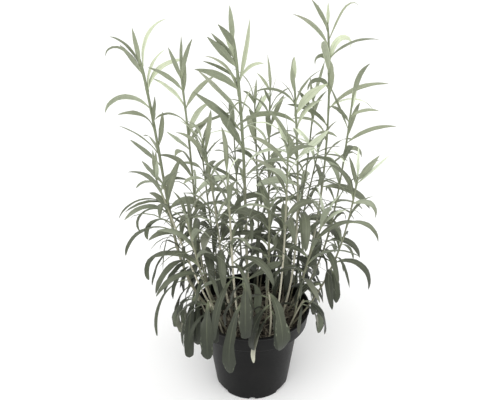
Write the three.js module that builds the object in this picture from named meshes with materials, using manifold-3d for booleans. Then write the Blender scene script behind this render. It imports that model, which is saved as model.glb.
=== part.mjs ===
/*
 * A tarragon plant in its nursery pot.
 *
 * Twenty leafy stems and ten short shoots stand in plain holes in the potting
 * soil, and the soil fills a thin plastic pot. Each stem and its leaves are
 * one solid. Millimetres, +Z up, front of the plant towards -Y. The origin is
 * the middle of the pot's foot, on the surface that it stands on.
 */
import * as THREE from 'three';
import { mergeVertices } from 'three/addons/utils/BufferGeometryUtils.js';
import Module from 'manifold-3d';

const wasm = await Module();
wasm.setup();

// ---------------------------------------------------------------- dimensions

// The pot is one thin shell: a tapered wall, a wider collar round its mouth,
// and a foot ring that carries a raised floor.
const pot = {
  height: 95,
  rimRadius: 60,
  collarHeight: 17,
  collarFootRadius: 58.5,
  wallTopRadius: 50,
  footRadius: 40,
  footRing: 3,
  floorLift: 5,
  thickness: 1.3,
  lipRadius: 61,
  lipHeight: 2.4,
  edge: 0.6, // every outer edge is eased by this much
  sides: 32,
};

// The foot ring is cut away in four wide notches and four small arched ones.
const notches = {
  wideAngles: [-143, -37, 37, 143],
  wideArc: 30,
  wideHeight: 3.2,
  roofShare: 0.75, // of the wide arc
  smallAngles: [-90, 0, 90, 180],
  smallWidth: 7,
  smallHeight: 3.4,
  past: 3, // how far the cuts run past the ring, inwards and outwards
  drainRadius: 4,
  drainAt: 30,
  drainSides: 10,
};

// rings: where the surface has its rings of points, from the edge inwards.
const soil = { top: 82, roughness: 1.1, clearance: 0.3, edgeSlope: 3, rings: [38, 19] };

// Every stem starts at this height, inside the soil.
const stemFoot = 72;
// steps: straight lengths in a stem, and shootSteps in a shoot. tip: radius at
// the tip, as a share of that at the foot. bare: share of the length below the
// first leaf. marks: points that stand for it in the crowd.
const stem = { sides: 5, steps: 7, shootSteps: 3, tip: 0.7, bare: 0.18, marks: 160, holeClearance: 0.35 };

// A leaf is a tapering blade, flat above and keeled below. Its narrow stalk
// starts at the stem's side.
const blade = {
  steps: 24, // of the midrib, and the unit of the sections
  kinds: [ // the more a blade bends, in degrees, the more sections it has
    { upTo: 55, sections: [2, 12] },
    { upTo: 135, sections: [2, 9, 17] },
    { upTo: 360, sections: [2, 7, 13, 19] },
  ],
  face: 0.25, // height of the flat face over the midrib's line
  keel: 0.8, // depth of the keel below that line
  tipKeel: 0.6,
  stalkHalf: 0.4,
  fused: 0.4, // up to this share, leaves of one stem may meet
  start: 0.9, // of the stem's radius, from its axis
  stalk: 0.16, // width of the stalk, as a share of the leaf's width
};

// How the rule's leaves change from the foot of a stem to its tip: the turn from
// one to the next, then angles, sizes and bends at the foot and at the tip.
// bulge: how much longer the ones between are. full: the share of the blade
// where it is widest. A shoot's leaves stay close to the foot's.
const leafRule = {
  golden: 137.5,
  crowding: 0.8,
  rise: [18, 74],
  fall: [-100, 40],
  long: [52, 38],
  bulge: 0.3,
  wide: [12, 5],
  full: [0.74, 0.44],
  curl: [0.42, 1.15],
  shootRise: 32,
  shootFull: [0.74, 0.7],
  shootShare: 0.12,
};

// Leaves keep this far from other stems and their leaves, and from the rim.
const leafGap = 3.6;
const rimGap = 3;

// The plant's outline: half its width and depth at the pot and above it, the
// heights between which it widens, and the lowest that a leaf hangs.
const crown = { lowWide: 78, lowDeep: 76, wide: 120, deep: 87, from: 110, to: 200, hem: 8 };

// Stems and shoots. path: the foot, two pulls and the tip. radius: at the
// foot. leaves: how many the rule sets. first: the turn of the lowest one.
// from: share of the length where leaves begin. set: single leaves as
// [share of the length, turn, rise, fall, length, width, roll, curl], where the
// turn is 0 to the right, 90 to the back, 180 to the left, 270 to the front,
// and the curl is below 1 where the leaf bends near the stem, above 1 where
// it bends at its tip.
const plants = {
  stem_01: {
    path: [[-32, 2, stemFoot], [-90, 2, 122], [-76, 0, 205], [-98, 0, 347]],
    radius: 1.6, leaves: 6, first: 60, from: 0.36,
    set: [
      [0.99, 190, 84, 80, 31, 4.4, 75, 1], [0.985, 176, 68, 4, 38, 4.2, 55, 1.6],
      [0.97, 170, 60, 42, 31, 7.2, 60, 1.3], [0.975, 188, 62, -100, 45, 4.2, 45, 2.6],
      [0.985, 10, 88, 8, 50, 4, 45, 1.7], [0.935, 16, 80, -14, 50, 5, 50, 1],
      [0.895, 184, 48, -78, 50, 6.6, 55, 1.3], [0.86, 300, 82, 70, 26, 6, 30, 1],
      [0.8, 15, 76, 84, 32, 5, 60, 1], [0.78, 176, 56, 16, 45, 2.8, 54, 1],
      [0.745, 188, 54, 38, 37, 5.4, 60, 1], [0.685, 180, 56, 46, 31, 7, 60, 1],
      [0.67, 164, 50, -60, 36, 4, 54, 1], [0.62, 182, 40, -68, 58, 3.2, 54, 0.9],
      [0.6, 12, 66, -84, 48, 8, 48, 0.9], [0.59, 190, 38, -130, 52, 3.4, 54, 1.2],
      [0.55, 184, 55, -110, 42, 6.5, 48, 0.8], [0.52, 180, 30, -86, 66, 6.5, 48, 0.95],
      [0.45, 215, 20, -84, 50, 9, 48, 0.5], [0.42, 182, 30, -112, 58, 7, 48, 0.9],
      [0.28, 184, 34, -96, 88, 4.4, 54, 0.36], [0.25, 215, 10, -92, 42, 9, 48, 0.45],
    ],
  },
  stem_02: {
    path: [[-30, 10, stemFoot], [-64, 10, 112], [-50, -4, 195], [-63, -4, 338]],
    radius: 1.2, leaves: 11, first: 10,
    set: [
      [0.99, 300, 86, 80, 34, 4, 20, 1], [0.985, 185, 74, 66, 28, 5.2, 60, 1],
      [0.96, 190, 54, 12, 36, 5.6, 55, 1.1],
      [0.955, 60, 84, 86, 32, 5, 60, 1], [0.92, 8, 66, 25, 40, 5, 50, 1],
      [0.885, 158, 48, -50, 38, 3.2, 54, 1],
      [0.87, 4, 26, 18, 46, 3, 54, 1], [0.84, 12, 56, 40, 32, 4.8, 54, 1],
      [0.82, 184, 46, 34, 26, 6.5, 50, 1],
      [0.68, 20, 66, -30, 48, 6, 48, 0.9],
    ],
  },
  stem_03: {
    path: [[0, 0, stemFoot], [-10, 0, 130], [-2, -14, 246], [-16, -14, 366]],
    radius: 1.7, leaves: 13, first: 40, from: 0.36,
    set: [
      [0.99, 200, 86, 84, 29, 4.8, 70, 1], [0.98, 175, 58, 52, 22, 4.4, 60, 1],
      [0.955, 180, 46, 46, 28, 5, 60, 1],
      [0.935, 188, 52, 40, 34, 7.5, 60, 1], [0.9, 5, 76, 84, 52, 4.4, 55, 1],
      [0.905, 168, 40, 10, 34, 4.5, 54, 1],
      [0.88, 186, 48, 4, 42, 7.8, 60, 1], [0.85, 220, -5, -82, 26, 5.5, 54, 0.5],
      [0.82, 174, 52, 40, 52, 7.5, 48, 1],
      [0.775, 188, 48, 34, 54, 8, 60, 1], [0.73, 194, 66, 52, 44, 9, 48, 1],
      [0.6, 170, 56, 10, 48, 7, 50, 1],
    ],
  },
  stem_04: {
    path: [[4, 22, stemFoot], [10, 24, 150], [4, 30, 240], [2, 34, 305]],
    radius: 1, leaves: 12, first: 90, set: [],
  },
  stem_05: {
    path: [[28, -6, stemFoot], [50, -14, 143], [43, -18, 241], [35, -18, 334]],
    radius: 1.1, leaves: 11, first: 150, from: 0.4,
    set: [
      [0.99, 100, 88, 86, 20, 3.8, 0, 1], [0.96, 190, 80, 84, 22, 4, 54, 1],
      [0.92, 178, 60, -35, 42, 3.4, 54, 1],
      [0.89, 12, 66, 16, 38, 7.5, 48, 1.1], [0.86, 184, 44, -46, 60, 7.5, 48, 0.9],
      [0.75, 8, 40, 44, 36, 6, 50, 1],
      [0.72, 186, 40, -60, 56, 7, 48, 0.9],
    ],
  },
  stem_06: {
    path: [[36, 14, stemFoot], [66, 14, 112], [80, 18, 264], [66, 18, 376]],
    radius: 1.2, leaves: 11, first: 200, from: 0.34,
    set: [
      [0.99, 100, 87, 82, 20, 3.2, 0, 1], [0.985, 186, 68, 46, 29, 4, 54, 1],
      [0.945, 180, 58, 12, 43, 4.4, 54, 1.3],
      [0.96, 6, 68, -150, 47, 2.8, 30, 5], [0.905, 10, 84, -150, 42, 6, 48, 2.2],
      [0.895, 200, 88, -120, 25, 6, 48, 1.3],
      [0.835, 186, 74, -104, 30, 6.5, 48, 1.2], [0.785, 4, 52, -8, 62, 4.4, 54, 1],
      [0.74, 182, 60, 0, 46, 6.5, 48, 0.9],
      [0.57, 0, 10, -64, 60, 8.5, 48, 1],
    ],
  },
  stem_07: {
    path: [[30, 4, stemFoot], [76, 4, 122], [84, 4, 190], [91, 4, 322]],
    radius: 1, leaves: 9, first: 300, from: 0.38,
    set: [
      [0.95, 20, 86, 84, 28, 4, 60, 1], [0.93, 5, 40, -20, 28, 3.2, 54, 1],
      [0.9, 178, 66, 62, 46, 2.8, 54, 1],
      [0.86, 3, 44, -8, 50, 4.2, 54, 1], [0.84, 14, 20, -104, 24, 4.8, 54, 1.4],
      [0.78, 182, 60, -46, 52, 4.6, 54, 0.9],
      [0.5, 0, 34, -80, 48, 7, 48, 0.8],
    ],
  },
  stem_08: {
    path: [[34, -20, stemFoot], [74, -18, 120], [90, -16, 165], [97, -16, 244]],
    radius: 1, leaves: 8, first: 30,
    set: [
      [0.99, 100, 88, 82, 32, 5.2, 30, 1], [0.985, 8, 54, 44, 30, 5.6, 50, 1],
      [0.97, 4, 46, 38, 40, 2.8, 54, 1],
      [0.965, 186, 80, 66, 30, 4.2, 54, 1], [0.88, 2, 22, -116, 36, 5.6, 54, 1.3],
      [0.78, 2, 24, -84, 42, 4.6, 54, 0.9],
      [0.66, 12, 4, -90, 26, 3.5, 54, 0.6], [0.54, 0, 40, -102, 60, 6.5, 48, 0.8],
      [0.5, 285, 12, -92, 36, 8.5, 20, 0.5],
      [0.58, 20, -10, -92, 22, 4, 54, 0.5],
    ],
  },
  stem_09: {
    path: [[-26, 24, stemFoot], [-42, 34, 130], [-46, 40, 180], [-52, 40, 258]],
    radius: 1, leaves: 12, first: 75, set: [],
  },
  stem_10: {
    path: [[22, 28, stemFoot], [46, 34, 140], [58, 38, 220], [60, 40, 310]],
    radius: 1, leaves: 13, first: 120, set: [],
  },
  stem_11: {
    path: [[20, -26, stemFoot], [30, -38, 130], [30, -40, 200], [30, -40, 288]],
    radius: 1, leaves: 14, first: 210, from: 0.48, set: [],
  },
  stem_12: {
    path: [[-18, -10, stemFoot], [-34, -18, 130], [-28, -24, 200], [-44, -30, 285]],
    radius: 1.1, leaves: 13, first: 330, from: 0.45, set: [],
  },
  stem_13: {
    path: [[-10, -30, stemFoot], [-20, -44, 130], [-18, -48, 190], [-22, -52, 264]],
    radius: 1.1, leaves: 12, first: 20, from: 0.5,
    set: [
      [0.45, 235, 10, -92, 66, 8, 0, 0.5],
    ],
  },
  stem_14: {
    path: [[14, 4, stemFoot], [20, 8, 150], [14, 10, 230], [16, 8, 318]],
    radius: 1.1, leaves: 13, first: 250, from: 0.4, set: [],
  },
  stem_15: {
    path: [[-28, -16, stemFoot], [-58, -22, 130], [-70, -24, 190], [-88, -24, 246]],
    radius: 1, leaves: 11, first: 170, from: 0.42, set: [],
  },
  stem_16: {
    path: [[38, -24, stemFoot], [46, -27, 100], [43, -32, 150], [66, -52, 225]],
    radius: 1, leaves: 11, first: 280, from: 0.5, set: [],
  },
  stem_17: {
    path: [[-22, -28, stemFoot], [-42, -44, 120], [-50, -50, 170], [-58, -54, 220]],
    radius: 1, leaves: 11, first: 200, from: 0.5, set: [],
  },
  stem_18: {
    path: [[13, -18, stemFoot], [16, -20, 110], [17, -28, 165], [14, -46, 235]],
    radius: 1, leaves: 11, first: 100, from: 0.55, set: [],
  },
  stem_19: {
    path: [[-8, 36, stemFoot], [-14, 52, 130], [-16, 56, 200], [-20, 60, 280]],
    radius: 1, leaves: 13, first: 45, set: [],
  },
  stem_20: {
    path: [[24, 36, stemFoot], [46, 52, 120], [60, 60, 180], [72, 62, 256]],
    radius: 1, leaves: 13, first: 160, set: [],
  },
  shoot_01: {
    path: [[-40, -14, stemFoot], [-46, -18, 92], [-52, -21, 106], [-57, -24, 122]],
    radius: 1, leaves: 3, first: 160, from: 0.5,
    set: [[0.97, 257, 14, -94, 67, 11.5, 0, 0.45], [0.85, 182, 34, -100, 48, 9, 50, 0.5]],
  },
  shoot_02: {
    path: [[-28, -34, stemFoot], [-32, -38, 95], [-36, -42, 110], [-42, -48, 131]],
    radius: 1, leaves: 1, first: 130, from: 0.5,
    set: [
      [0.98, 266, 14, -98, 60, 13, 0, 0.45], [0.86, 282, 24, -96, 39, 8, 10, 0.45],
      [0.9, 195, 40, -92, 42, 7, 30, 0.6],
    ],
  },
  shoot_03: {
    path: [[-6, -40, stemFoot], [-9, -46, 100], [-11, -50, 125], [-6, -54, 158]],
    radius: 1, leaves: 1, first: 60, from: 0.5,
    set: [
      [0.72, 242, 8, -96, 75, 12.5, 0, 0.45], [0.97, 270, 36, -92, 56, 13, 0, 0.3],
      [0.95, 195, 20, -92, 30, 6, 0, 0.4], [0.98, 350, 44, 30, 40, 8, 40, 1],
      [0.99, 178, 26, -50, 50, 7, 48, 0.8], [0.8, 205, 20, -96, 40, 7, 0, 0.5],
    ],
  },
  shoot_04: {
    path: [[16, -42, stemFoot], [18, -45, 95], [19, -48, 115], [15, -54, 144]],
    radius: 1, leaves: 1, first: 100, from: 0.5,
    set: [
      [0.98, 288, 52, -106, 64, 13, 0, 0.5], [0.8, 222, 20, -98, 52, 12, 0, 0.45],
      [0.72, 292, 20, -94, 42, 10, 0, 0.5], [0.62, 228, 10, -96, 54, 6, 0, 0.5],
    ],
  },
  shoot_05: {
    path: [[34, -28, stemFoot], [40, -31, 95], [44, -34, 108], [50, -37, 124]],
    radius: 1, leaves: 1, first: 60, from: 0.5,
    set: [
      [0.97, 326, 30, -100, 46, 7, 0, 0.6], [0.88, 350, 0, -92, 34, 7.5, 0, 0.6],
    ],
  },
  shoot_06: {
    path: [[40, 18, stemFoot], [43, 20, 92], [46, 23, 108], [52, 26, 127]],
    radius: 1, leaves: 6, first: 0, from: 0.5, set: [],
  },
  shoot_07: {
    path: [[8, 44, stemFoot], [10, 46, 92], [12, 51, 108], [14, 57, 126]],
    radius: 1, leaves: 3, first: 90, from: 0.5,
    set: [[0.97, 85, 24, -96, 54, 11, 0, 0.5], [0.8, 120, 30, -92, 44, 9, 10, 0.5]],
  },
  shoot_08: {
    path: [[-32, 30, stemFoot], [-36, 34, 92], [-42, 38, 108], [-45, 41, 126]],
    radius: 1, leaves: 5, first: 118, from: 0.5, set: [],
  },
  shoot_09: {
    path: [[-42, 16, stemFoot], [-46, 20, 92], [-50, 23, 108], [-52, 27, 127]],
    radius: 1, leaves: 3, first: 190, from: 0.5,
    set: [[0.97, 165, 24, -96, 54, 11, 0, 0.5], [0.8, 205, 30, -92, 44, 9, 10, 0.5]],
  },
  shoot_10: {
    path: [[32, 32, stemFoot], [35, 35, 92], [39, 39, 108], [43, 44, 127]],
    radius: 1, leaves: 3, first: 30, from: 0.5,
    set: [[0.97, 40, 24, -96, 54, 11, 0, 0.5], [0.8, 2, 30, -92, 44, 9, 10, 0.5]],
  },
};

// ------------------------------------------------------------- small helpers

const radians = (degrees) => (degrees * Math.PI) / 180;
const mix = (a, b, share) => a + (b - a) * share;
const clamp = (value) => Math.min(1, Math.max(0, value));

// A repeatable draw of numbers between two limits.
function drawFrom(seed) {
  let state = seed * 7919 + 104729;
  return (low, high) => {
    state = (state * 16807) % 2147483647;
    return low + ((high - low) * state) / 2147483647;
  };
}

// A closed solid from equal rings of points, capped at its first ring, and
// either capped at its last ring or drawn out to a point beyond it.
function loft(rings, point) {
  const sides = rings[0].length;
  const positions = rings.flat(2);
  const index = [];
  for (let r = 0; r < rings.length - 1; r++) {
    for (let k = 0; k < sides; k++) {
      const a = r * sides + k;
      const b = r * sides + ((k + 1) % sides);
      index.push(a, b, b + sides, a, b + sides, a + sides);
    }
  }
  const last = (rings.length - 1) * sides;
  for (let k = 1; k < sides - 1; k++) index.push(0, k + 1, k);
  if (point) {
    const apex = positions.length / 3;
    positions.push(...point);
    for (let k = 0; k < sides; k++) index.push(last + k, last + ((k + 1) % sides), apex);
  } else {
    for (let k = 1; k < sides - 1; k++) index.push(last, last + k, last + k + 1);
  }
  const geometry = new THREE.BufferGeometry();
  geometry.setAttribute('position', new THREE.Float32BufferAttribute(positions, 3));
  geometry.setIndex(index);
  return toSolid(geometry);
}

// three.js geometry to a solid for cutting and joining.
function toSolid(geometry) {
  const bare = geometry.clone();
  bare.deleteAttribute('normal');
  bare.deleteAttribute('uv');
  const merged = mergeVertices(bare, 1e-4);
  const triangles = [];
  const at = merged.index.array;
  for (let k = 0; k < at.length; k += 3) {
    const [a, b, c] = [at[k], at[k + 1], at[k + 2]];
    if (a !== b && b !== c && c !== a) triangles.push(a, b, c);
  }
  return new wasm.Manifold(new wasm.Mesh({
    numProp: 3,
    vertProperties: new Float32Array(merged.attributes.position.array),
    triVerts: new Uint32Array(triangles),
  }));
}

function toGeometry(solid) {
  const mesh = solid.getMesh();
  const geometry = new THREE.BufferGeometry();
  geometry.setAttribute('position', new THREE.Float32BufferAttribute(mesh.vertProperties, 3));
  geometry.setIndex([...mesh.triVerts]);
  geometry.computeVertexNormals();
  return geometry;
}

// A profile of [radius, height] points turned round the Z axis.
function turned(profile, sides) {
  const points = profile.map(([radius, height]) => new THREE.Vector2(radius, height));
  return new THREE.LatheGeometry(points, sides).rotateX(Math.PI / 2);
}

// ---------------------------------------------------------------------- pot

function potWallRadius(z) {
  return mix(pot.footRadius, pot.wallTopRadius, z / (pot.height - pot.collarHeight));
}

function makePot() {
  const { height, thickness, edge, footRadius, footRing, floorLift, rimRadius, lipRadius } = pot;
  const collarFoot = height - pot.collarHeight;
  const lipFoot = height - pot.lipHeight;
  const shell = toSolid(turned([
    [0, floorLift - thickness],
    [footRadius - footRing, floorLift - thickness],
    [footRadius - footRing + edge, 0],
    [footRadius - edge, 0],
    [footRadius, edge],
    [pot.wallTopRadius, collarFoot - 2 * edge],
    [pot.collarFootRadius - edge, collarFoot],
    [pot.collarFootRadius, collarFoot + edge],
    [rimRadius, lipFoot],
    [lipRadius, lipFoot + edge],
    [lipRadius, height - edge],
    [lipRadius - edge, height],
    [rimRadius - thickness - edge, height],
    [pot.collarFootRadius - thickness, collarFoot + thickness + edge],
    [pot.wallTopRadius - thickness, collarFoot],
    [potWallRadius(floorLift) - thickness, floorLift],
    [0, floorLift],
    [0, floorLift - thickness],
  ], pot.sides));

  const cuts = notches.wideAngles.map(makeWideNotch)
    .concat(notches.smallAngles.map(makeSmallNotch))
    .concat(notches.wideAngles.map(makeDrain));
  return cuts.reduce((solid, cut) => solid.subtract(cut), shell);
}

// A wedge that opens the foot ring, lower than the floor above it.
function makeWideNotch(angle) {
  const outer = pot.footRadius + notches.past;
  const inner = pot.footRadius - pot.footRing - notches.past;
  const shape = new THREE.Shape();
  const half = radians(notches.wideArc / 2);
  shape.absarc(0, 0, outer, -half, half, false);
  shape.absarc(0, 0, inner, half, -half, true);
  const geometry = new THREE.ExtrudeGeometry(shape, {
    depth: notches.wideHeight + 1, bevelEnabled: false, curveSegments: 4,
  });
  // The ends of the notch slope, so its roof is shorter than its mouth.
  const position = geometry.attributes.position;
  for (let k = 0; k < position.count; k++) {
    const lean = position.getZ(k) > 1 ? notches.roofShare : 1;
    const turn = Math.atan2(position.getY(k), position.getX(k)) * lean;
    const radius = Math.hypot(position.getX(k), position.getY(k));
    position.setXY(k, radius * Math.cos(turn), radius * Math.sin(turn));
  }
  geometry.translate(0, 0, -1).rotateZ(radians(angle));
  return toSolid(geometry);
}

// An arched mouse hole through the foot ring.
function makeSmallNotch(angle) {
  const half = notches.smallWidth / 2;
  const shape = new THREE.Shape();
  shape.moveTo(-half, -1);
  shape.lineTo(half, -1);
  shape.absellipse(0, 0, half, notches.smallHeight, 0, Math.PI, false);
  const geometry = new THREE.ExtrudeGeometry(shape, {
    depth: pot.footRing + 2 * notches.past, bevelEnabled: false, curveSegments: 5,
  });
  geometry.rotateX(Math.PI / 2).rotateZ(Math.PI / 2);
  geometry.translate(pot.footRadius - pot.footRing - notches.past, 0, 0).rotateZ(radians(angle));
  return toSolid(geometry);
}

function makeDrain(angle) {
  const radius = notches.drainRadius;
  const geometry = new THREE.CylinderGeometry(radius, radius, 2 * pot.floorLift, notches.drainSides);
  geometry.rotateX(Math.PI / 2).translate(notches.drainAt, 0, pot.floorLift);
  return toSolid(geometry.rotateZ(radians(angle)));
}

// --------------------------------------------------------------------- soil

// Height of the soil's surface: low mounds, a little higher in the middle.
function soilHeight(x, y) {
  const mounds = Math.sin(x * 0.21 + 1.3) * Math.cos(y * 0.19 - 0.4) + 0.6 * Math.sin(x * 0.43 - y * 0.37);
  return soil.top + soil.roughness * mounds;
}

function makeSoil(stems) {
  const collarFoot = pot.height - pot.collarHeight;
  const skin = pot.thickness + soil.clearance;
  const bottom = pot.floorLift + soil.clearance;
  const edge = pot.collarFootRadius - skin;
  const geometry = turned([
    [0, bottom],
    [potWallRadius(bottom) - skin, bottom],
    [pot.wallTopRadius - skin, collarFoot + soil.clearance],
    [edge, collarFoot + pot.thickness + pot.edge + 2 * soil.clearance],
    [edge, soil.top - soil.roughness],
    [edge - soil.edgeSlope, soil.top],
    ...soil.rings.map((radius) => [radius, soil.top]),
    [0, soil.top],
  ], pot.sides);
  const position = geometry.attributes.position;
  for (let k = 0; k < position.count; k++) {
    if (position.getZ(k) < soil.top - 0.1) continue;
    position.setZ(k, soilHeight(position.getX(k), position.getY(k)));
  }
  const ground = toSolid(geometry);
  return stems.reduce((solid, hole) => solid.subtract(hole), ground);
}

// ------------------------------------------------------------ stems, leaves

for (const [name, plant] of Object.entries(plants)) {
  plant.steps = name.startsWith('shoot') ? stem.shootSteps : stem.steps;
  plant.curve = new THREE.CubicBezierCurve3(...plant.path.map((point) => new THREE.Vector3(...point)));
}

// A level ring of points round the stem's curve at a share of its length.
// Level rings have parallel edges, so the flats between them are true planes.
function ringRound(curve, t, radius) {
  const centre = curve.getPoint(t);
  return Array.from({ length: stem.sides }, (_, k) => {
    const angle = (k / stem.sides) * 2 * Math.PI;
    return [centre.x + radius * Math.cos(angle), centre.y + radius * Math.sin(angle), centre.z];
  });
}

// The rod's own axis, which runs straight from ring to ring.
function rodAxis(plant, t) {
  const below = Math.min(Math.floor(t * plant.steps), plant.steps - 1);
  const low = plant.curve.getPoint(below / plant.steps);
  const high = plant.curve.getPoint((below + 1) / plant.steps);
  return low.lerp(high, t * plant.steps - below);
}

// The bare stem: a tapering rod along its curve.
function makeRod(plant) {
  const rings = [];
  for (let k = 0; k <= plant.steps; k++) {
    const t = k / plant.steps;
    rings.push(ringRound(plant.curve, t, plant.radius * mix(1, stem.tip, t)));
  }
  return loft(rings);
}

// The round hole that a stem stands in: the rod's own flats with a little
// room round them, and a little deeper than the stem.
function makeHole(plant) {
  const rings = [];
  for (let k = 0; k < 2 || rings.at(-1)[0][2] < soil.top + 3; k++) {
    const t = k / plant.steps;
    const upright = plant.curve.getTangent(t).z;
    const room = stem.holeClearance / Math.cos(Math.PI / stem.sides) / upright;
    rings.push(ringRound(plant.curve, t, plant.radius * mix(1, stem.tip, t) + room));
  }
  rings[0] = rings[0].map(([x, y, z]) => [x, y, z - stem.holeClearance]);
  return loft(rings);
}

// The midrib leaves the stem's side at the leaf's rise and bends to its fall.
function midribOf(plant, leaf) {
  const point = plant.curve.getPoint(leaf.at);
  const off = plant.radius * mix(1, stem.tip, leaf.at) * blade.start;
  const out = radians(leaf.turn);
  const points = [[point.x + off * Math.cos(out), point.y + off * Math.sin(out), point.z]];
  const step = leaf.long / blade.steps;
  for (let k = 0; k < blade.steps; k++) {
    const share = (k + 0.5) / blade.steps;
    const lift = radians(mix(leaf.rise, leaf.fall, share ** leaf.curl));
    const turn = radians(leaf.turn + leaf.swing * share);
    const [x, y, z] = points[k];
    points.push([
      x + step * Math.cos(lift) * Math.cos(turn),
      y + step * Math.cos(lift) * Math.sin(turn),
      z + step * Math.sin(lift),
    ]);
  }
  return points;
}

// Half the blade's width: narrow at the stalk, full at one share, then a tip.
function halfWidth(leaf, share) {
  const full = leaf.full;
  const tip = mix(1, 0.5, clamp((full - 0.45) * 5));
  const base = (tip * full) / (1 - full);
  const peak = full ** base * (1 - full) ** tip;
  const inside = share > 0 && share < 1;
  const body = inside ? (share ** base * (1 - share) ** tip) / peak : 0;
  return (leaf.wide / 2) * Math.max(body, blade.stalk * (1 - share));
}

// Directions of the blade at one share: across it, and up from its face.
function bladeSides(leaf, share) {
  const turn = radians(leaf.turn + leaf.swing * share);
  const lift = radians(mix(leaf.rise, leaf.fall, share ** leaf.curl));
  const roll = radians(leaf.roll);
  const level = [-Math.sin(turn), Math.cos(turn), 0];
  const steep = [-Math.sin(lift) * Math.cos(turn), -Math.sin(lift) * Math.sin(turn), Math.cos(lift)];
  const across = level.map((value, k) => value * Math.cos(roll) + steep[k] * Math.sin(roll));
  const up = steep.map((value, k) => value * Math.cos(roll) - level[k] * Math.sin(roll));
  return { across, up };
}

// A closed blade of three-cornered sections. Its stalk is a plain prism that
// goes into the stem as far as the stem's axis, no steeper than 45 degrees.
function makeLeaf(plant, leaf) {
  const rib = midribOf(plant, leaf);
  const bend = Math.abs(leaf.rise - leaf.fall);
  const kind = blade.kinds.find(({ upTo }) => bend < upTo);
  const rings = kind.sections.map((step, k) => {
    const share = step / blade.steps;
    const { across, up } = bladeSides(leaf, share);
    const half = k === 0 ? blade.stalkHalf : halfWidth(leaf, share);
    const keel = mix(blade.keel, blade.tipKeel, share);
    return [
      rib[step].map((value, n) => value + across[n] * half + up[n] * blade.face),
      rib[step].map((value, n) => value - across[n] * half + up[n] * blade.face),
      rib[step].map((value, n) => value - up[n] * keel),
    ];
  });
  const first = rib[kind.sections[0]];
  const axis = rodAxis(plant, leaf.at);
  const reach = Math.hypot(first[0] - axis.x, first[1] - axis.y);
  const climb = Math.max(0, first[2] - reach - axis.z);
  const along = plant.curve.getTangent(leaf.at);
  const root = axis.addScaledVector(along, climb / along.z).toArray();
  rings.unshift(rings[0].map((point) => point.map((value, n) => value + root[n] - first[n])));
  return loft(rings, rib[blade.steps]);
}

// ------------------------------------------------------- where leaves stand

// Points spread over a leaf, close enough that nothing slips between them.
function pointsOn(plant, leaf) {
  const rib = midribOf(plant, leaf);
  const points = [];
  for (let step = 1; step <= blade.steps; step++) {
    const share = step / blade.steps;
    const half = halfWidth(leaf, share);
    const { across } = bladeSides(leaf, share);
    const lanes = half > 2.5 ? [0, 0.5, 1, -0.5, -1] : half > 1.2 ? [0, 1, -1] : [0];
    for (const lane of lanes) {
      points.push({
        x: rib[step][0] + across[0] * half * lane,
        y: rib[step][1] + across[1] * half * lane,
        z: rib[step][2] + across[2] * half * lane,
        share,
        room: leafGap / 2,
      });
    }
  }
  return points;
}

// All the points placed so far, sorted into cubes for a quick look round.
class Crowd {
  constructor(size) {
    this.size = size;
    this.cubes = new Map();
  }

  cubeOf(point) {
    return [point.x, point.y, point.z].map((value) => Math.floor(value / this.size));
  }

  add(points, owner) {
    for (const point of points) {
      const key = this.cubeOf(point).join();
      if (!this.cubes.has(key)) this.cubes.set(key, []);
      this.cubes.get(key).push({ ...point, owner });
    }
  }

  // Whether a point comes too near another plant's, or near a sister leaf.
  touches(points, owner) {
    return points.some((point) => {
      const [i, j, k] = this.cubeOf(point);
      for (let a = i - 1; a <= i + 1; a++) {
        for (let b = j - 1; b <= j + 1; b++) {
          for (let c = k - 1; c <= k + 1; c++) {
            for (const other of this.cubes.get(`${a},${b},${c}`) ?? []) {
              const sister = other.owner === owner;
              if (sister && Math.min(point.share, other.share) < blade.fused) continue;
              const reach = point.room + other.room;
              const away = (point.x - other.x) ** 2 + (point.y - other.y) ** 2 + (point.z - other.z) ** 2;
              if (away < reach * reach) return true;
            }
          }
        }
      }
      return false;
    });
  }
}

// Clear of the pot and the soil, and not below the pot's lower wall.
function clearOfPot(points) {
  return points.every(({ x, y, z }) => {
    const out = Math.hypot(x, y);
    if (out > pot.lipRadius + rimGap) return z > crown.hem;
    if (z > pot.height + rimGap) return true;
    return out < pot.collarFootRadius - pot.thickness - 2 * rimGap && z > soil.top + rimGap;
  });
}

// Within the plant's outline: narrower near the pot, wider above it.
function withinCrown(points) {
  return points.every(({ x, y, z }) => {
    const share = clamp((z - crown.from) / (crown.to - crown.from));
    const wide = mix(crown.lowWide, crown.wide, share);
    const deep = mix(crown.lowDeep, crown.deep, share);
    return Math.abs(x) < wide && Math.abs(y) < deep;
  });
}

function seedOf(name) {
  return name.length + [...name].reduce((sum, letter) => sum + letter.charCodeAt(0), 0);
}

// Where a blade is widest: past its middle low down, before it at the top.
function fullest(name, at) {
  return mix(...(name.startsWith('stem') ? leafRule.full : leafRule.shootFull), at);
}

// The rule's k-th leaf on a stem: low ones broad and drooping, high ones
// slender and upright, each turned by the golden angle from the last.
function ruledLeaf(name, plant, k, draw) {
  const from = plant.from ?? stem.bare;
  const at = from + (1 - from) * ((k + 0.5 + draw(-0.3, 0.3)) / plant.leaves) ** leafRule.crowding;
  const low = name.startsWith('shoot');
  const high = low ? leafRule.shootShare * at : at;
  const footRise = low ? leafRule.shootRise : leafRule.rise[0];
  return {
    at,
    turn: plant.first + leafRule.golden * k + draw(-20, 20),
    rise: mix(footRise, leafRule.rise[1], high ** 0.8) + draw(-14, 14),
    fall: mix(...leafRule.fall, high ** 2.4) + draw(-24, 24),
    long: mix(...leafRule.long, high) * (1 + leafRule.bulge * Math.sin(Math.PI * high)) * draw(0.7, 1.14),
    wide: mix(...leafRule.wide, Math.min(1, high * 1.05)) * draw(0.75, 1.15),
    swing: draw(-36, 36),
    roll: draw(-50, 50),
    full: fullest(name, at),
    curl: mix(...leafRule.curl, high) * draw(0.8, 1.5),
  };
}

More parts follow.
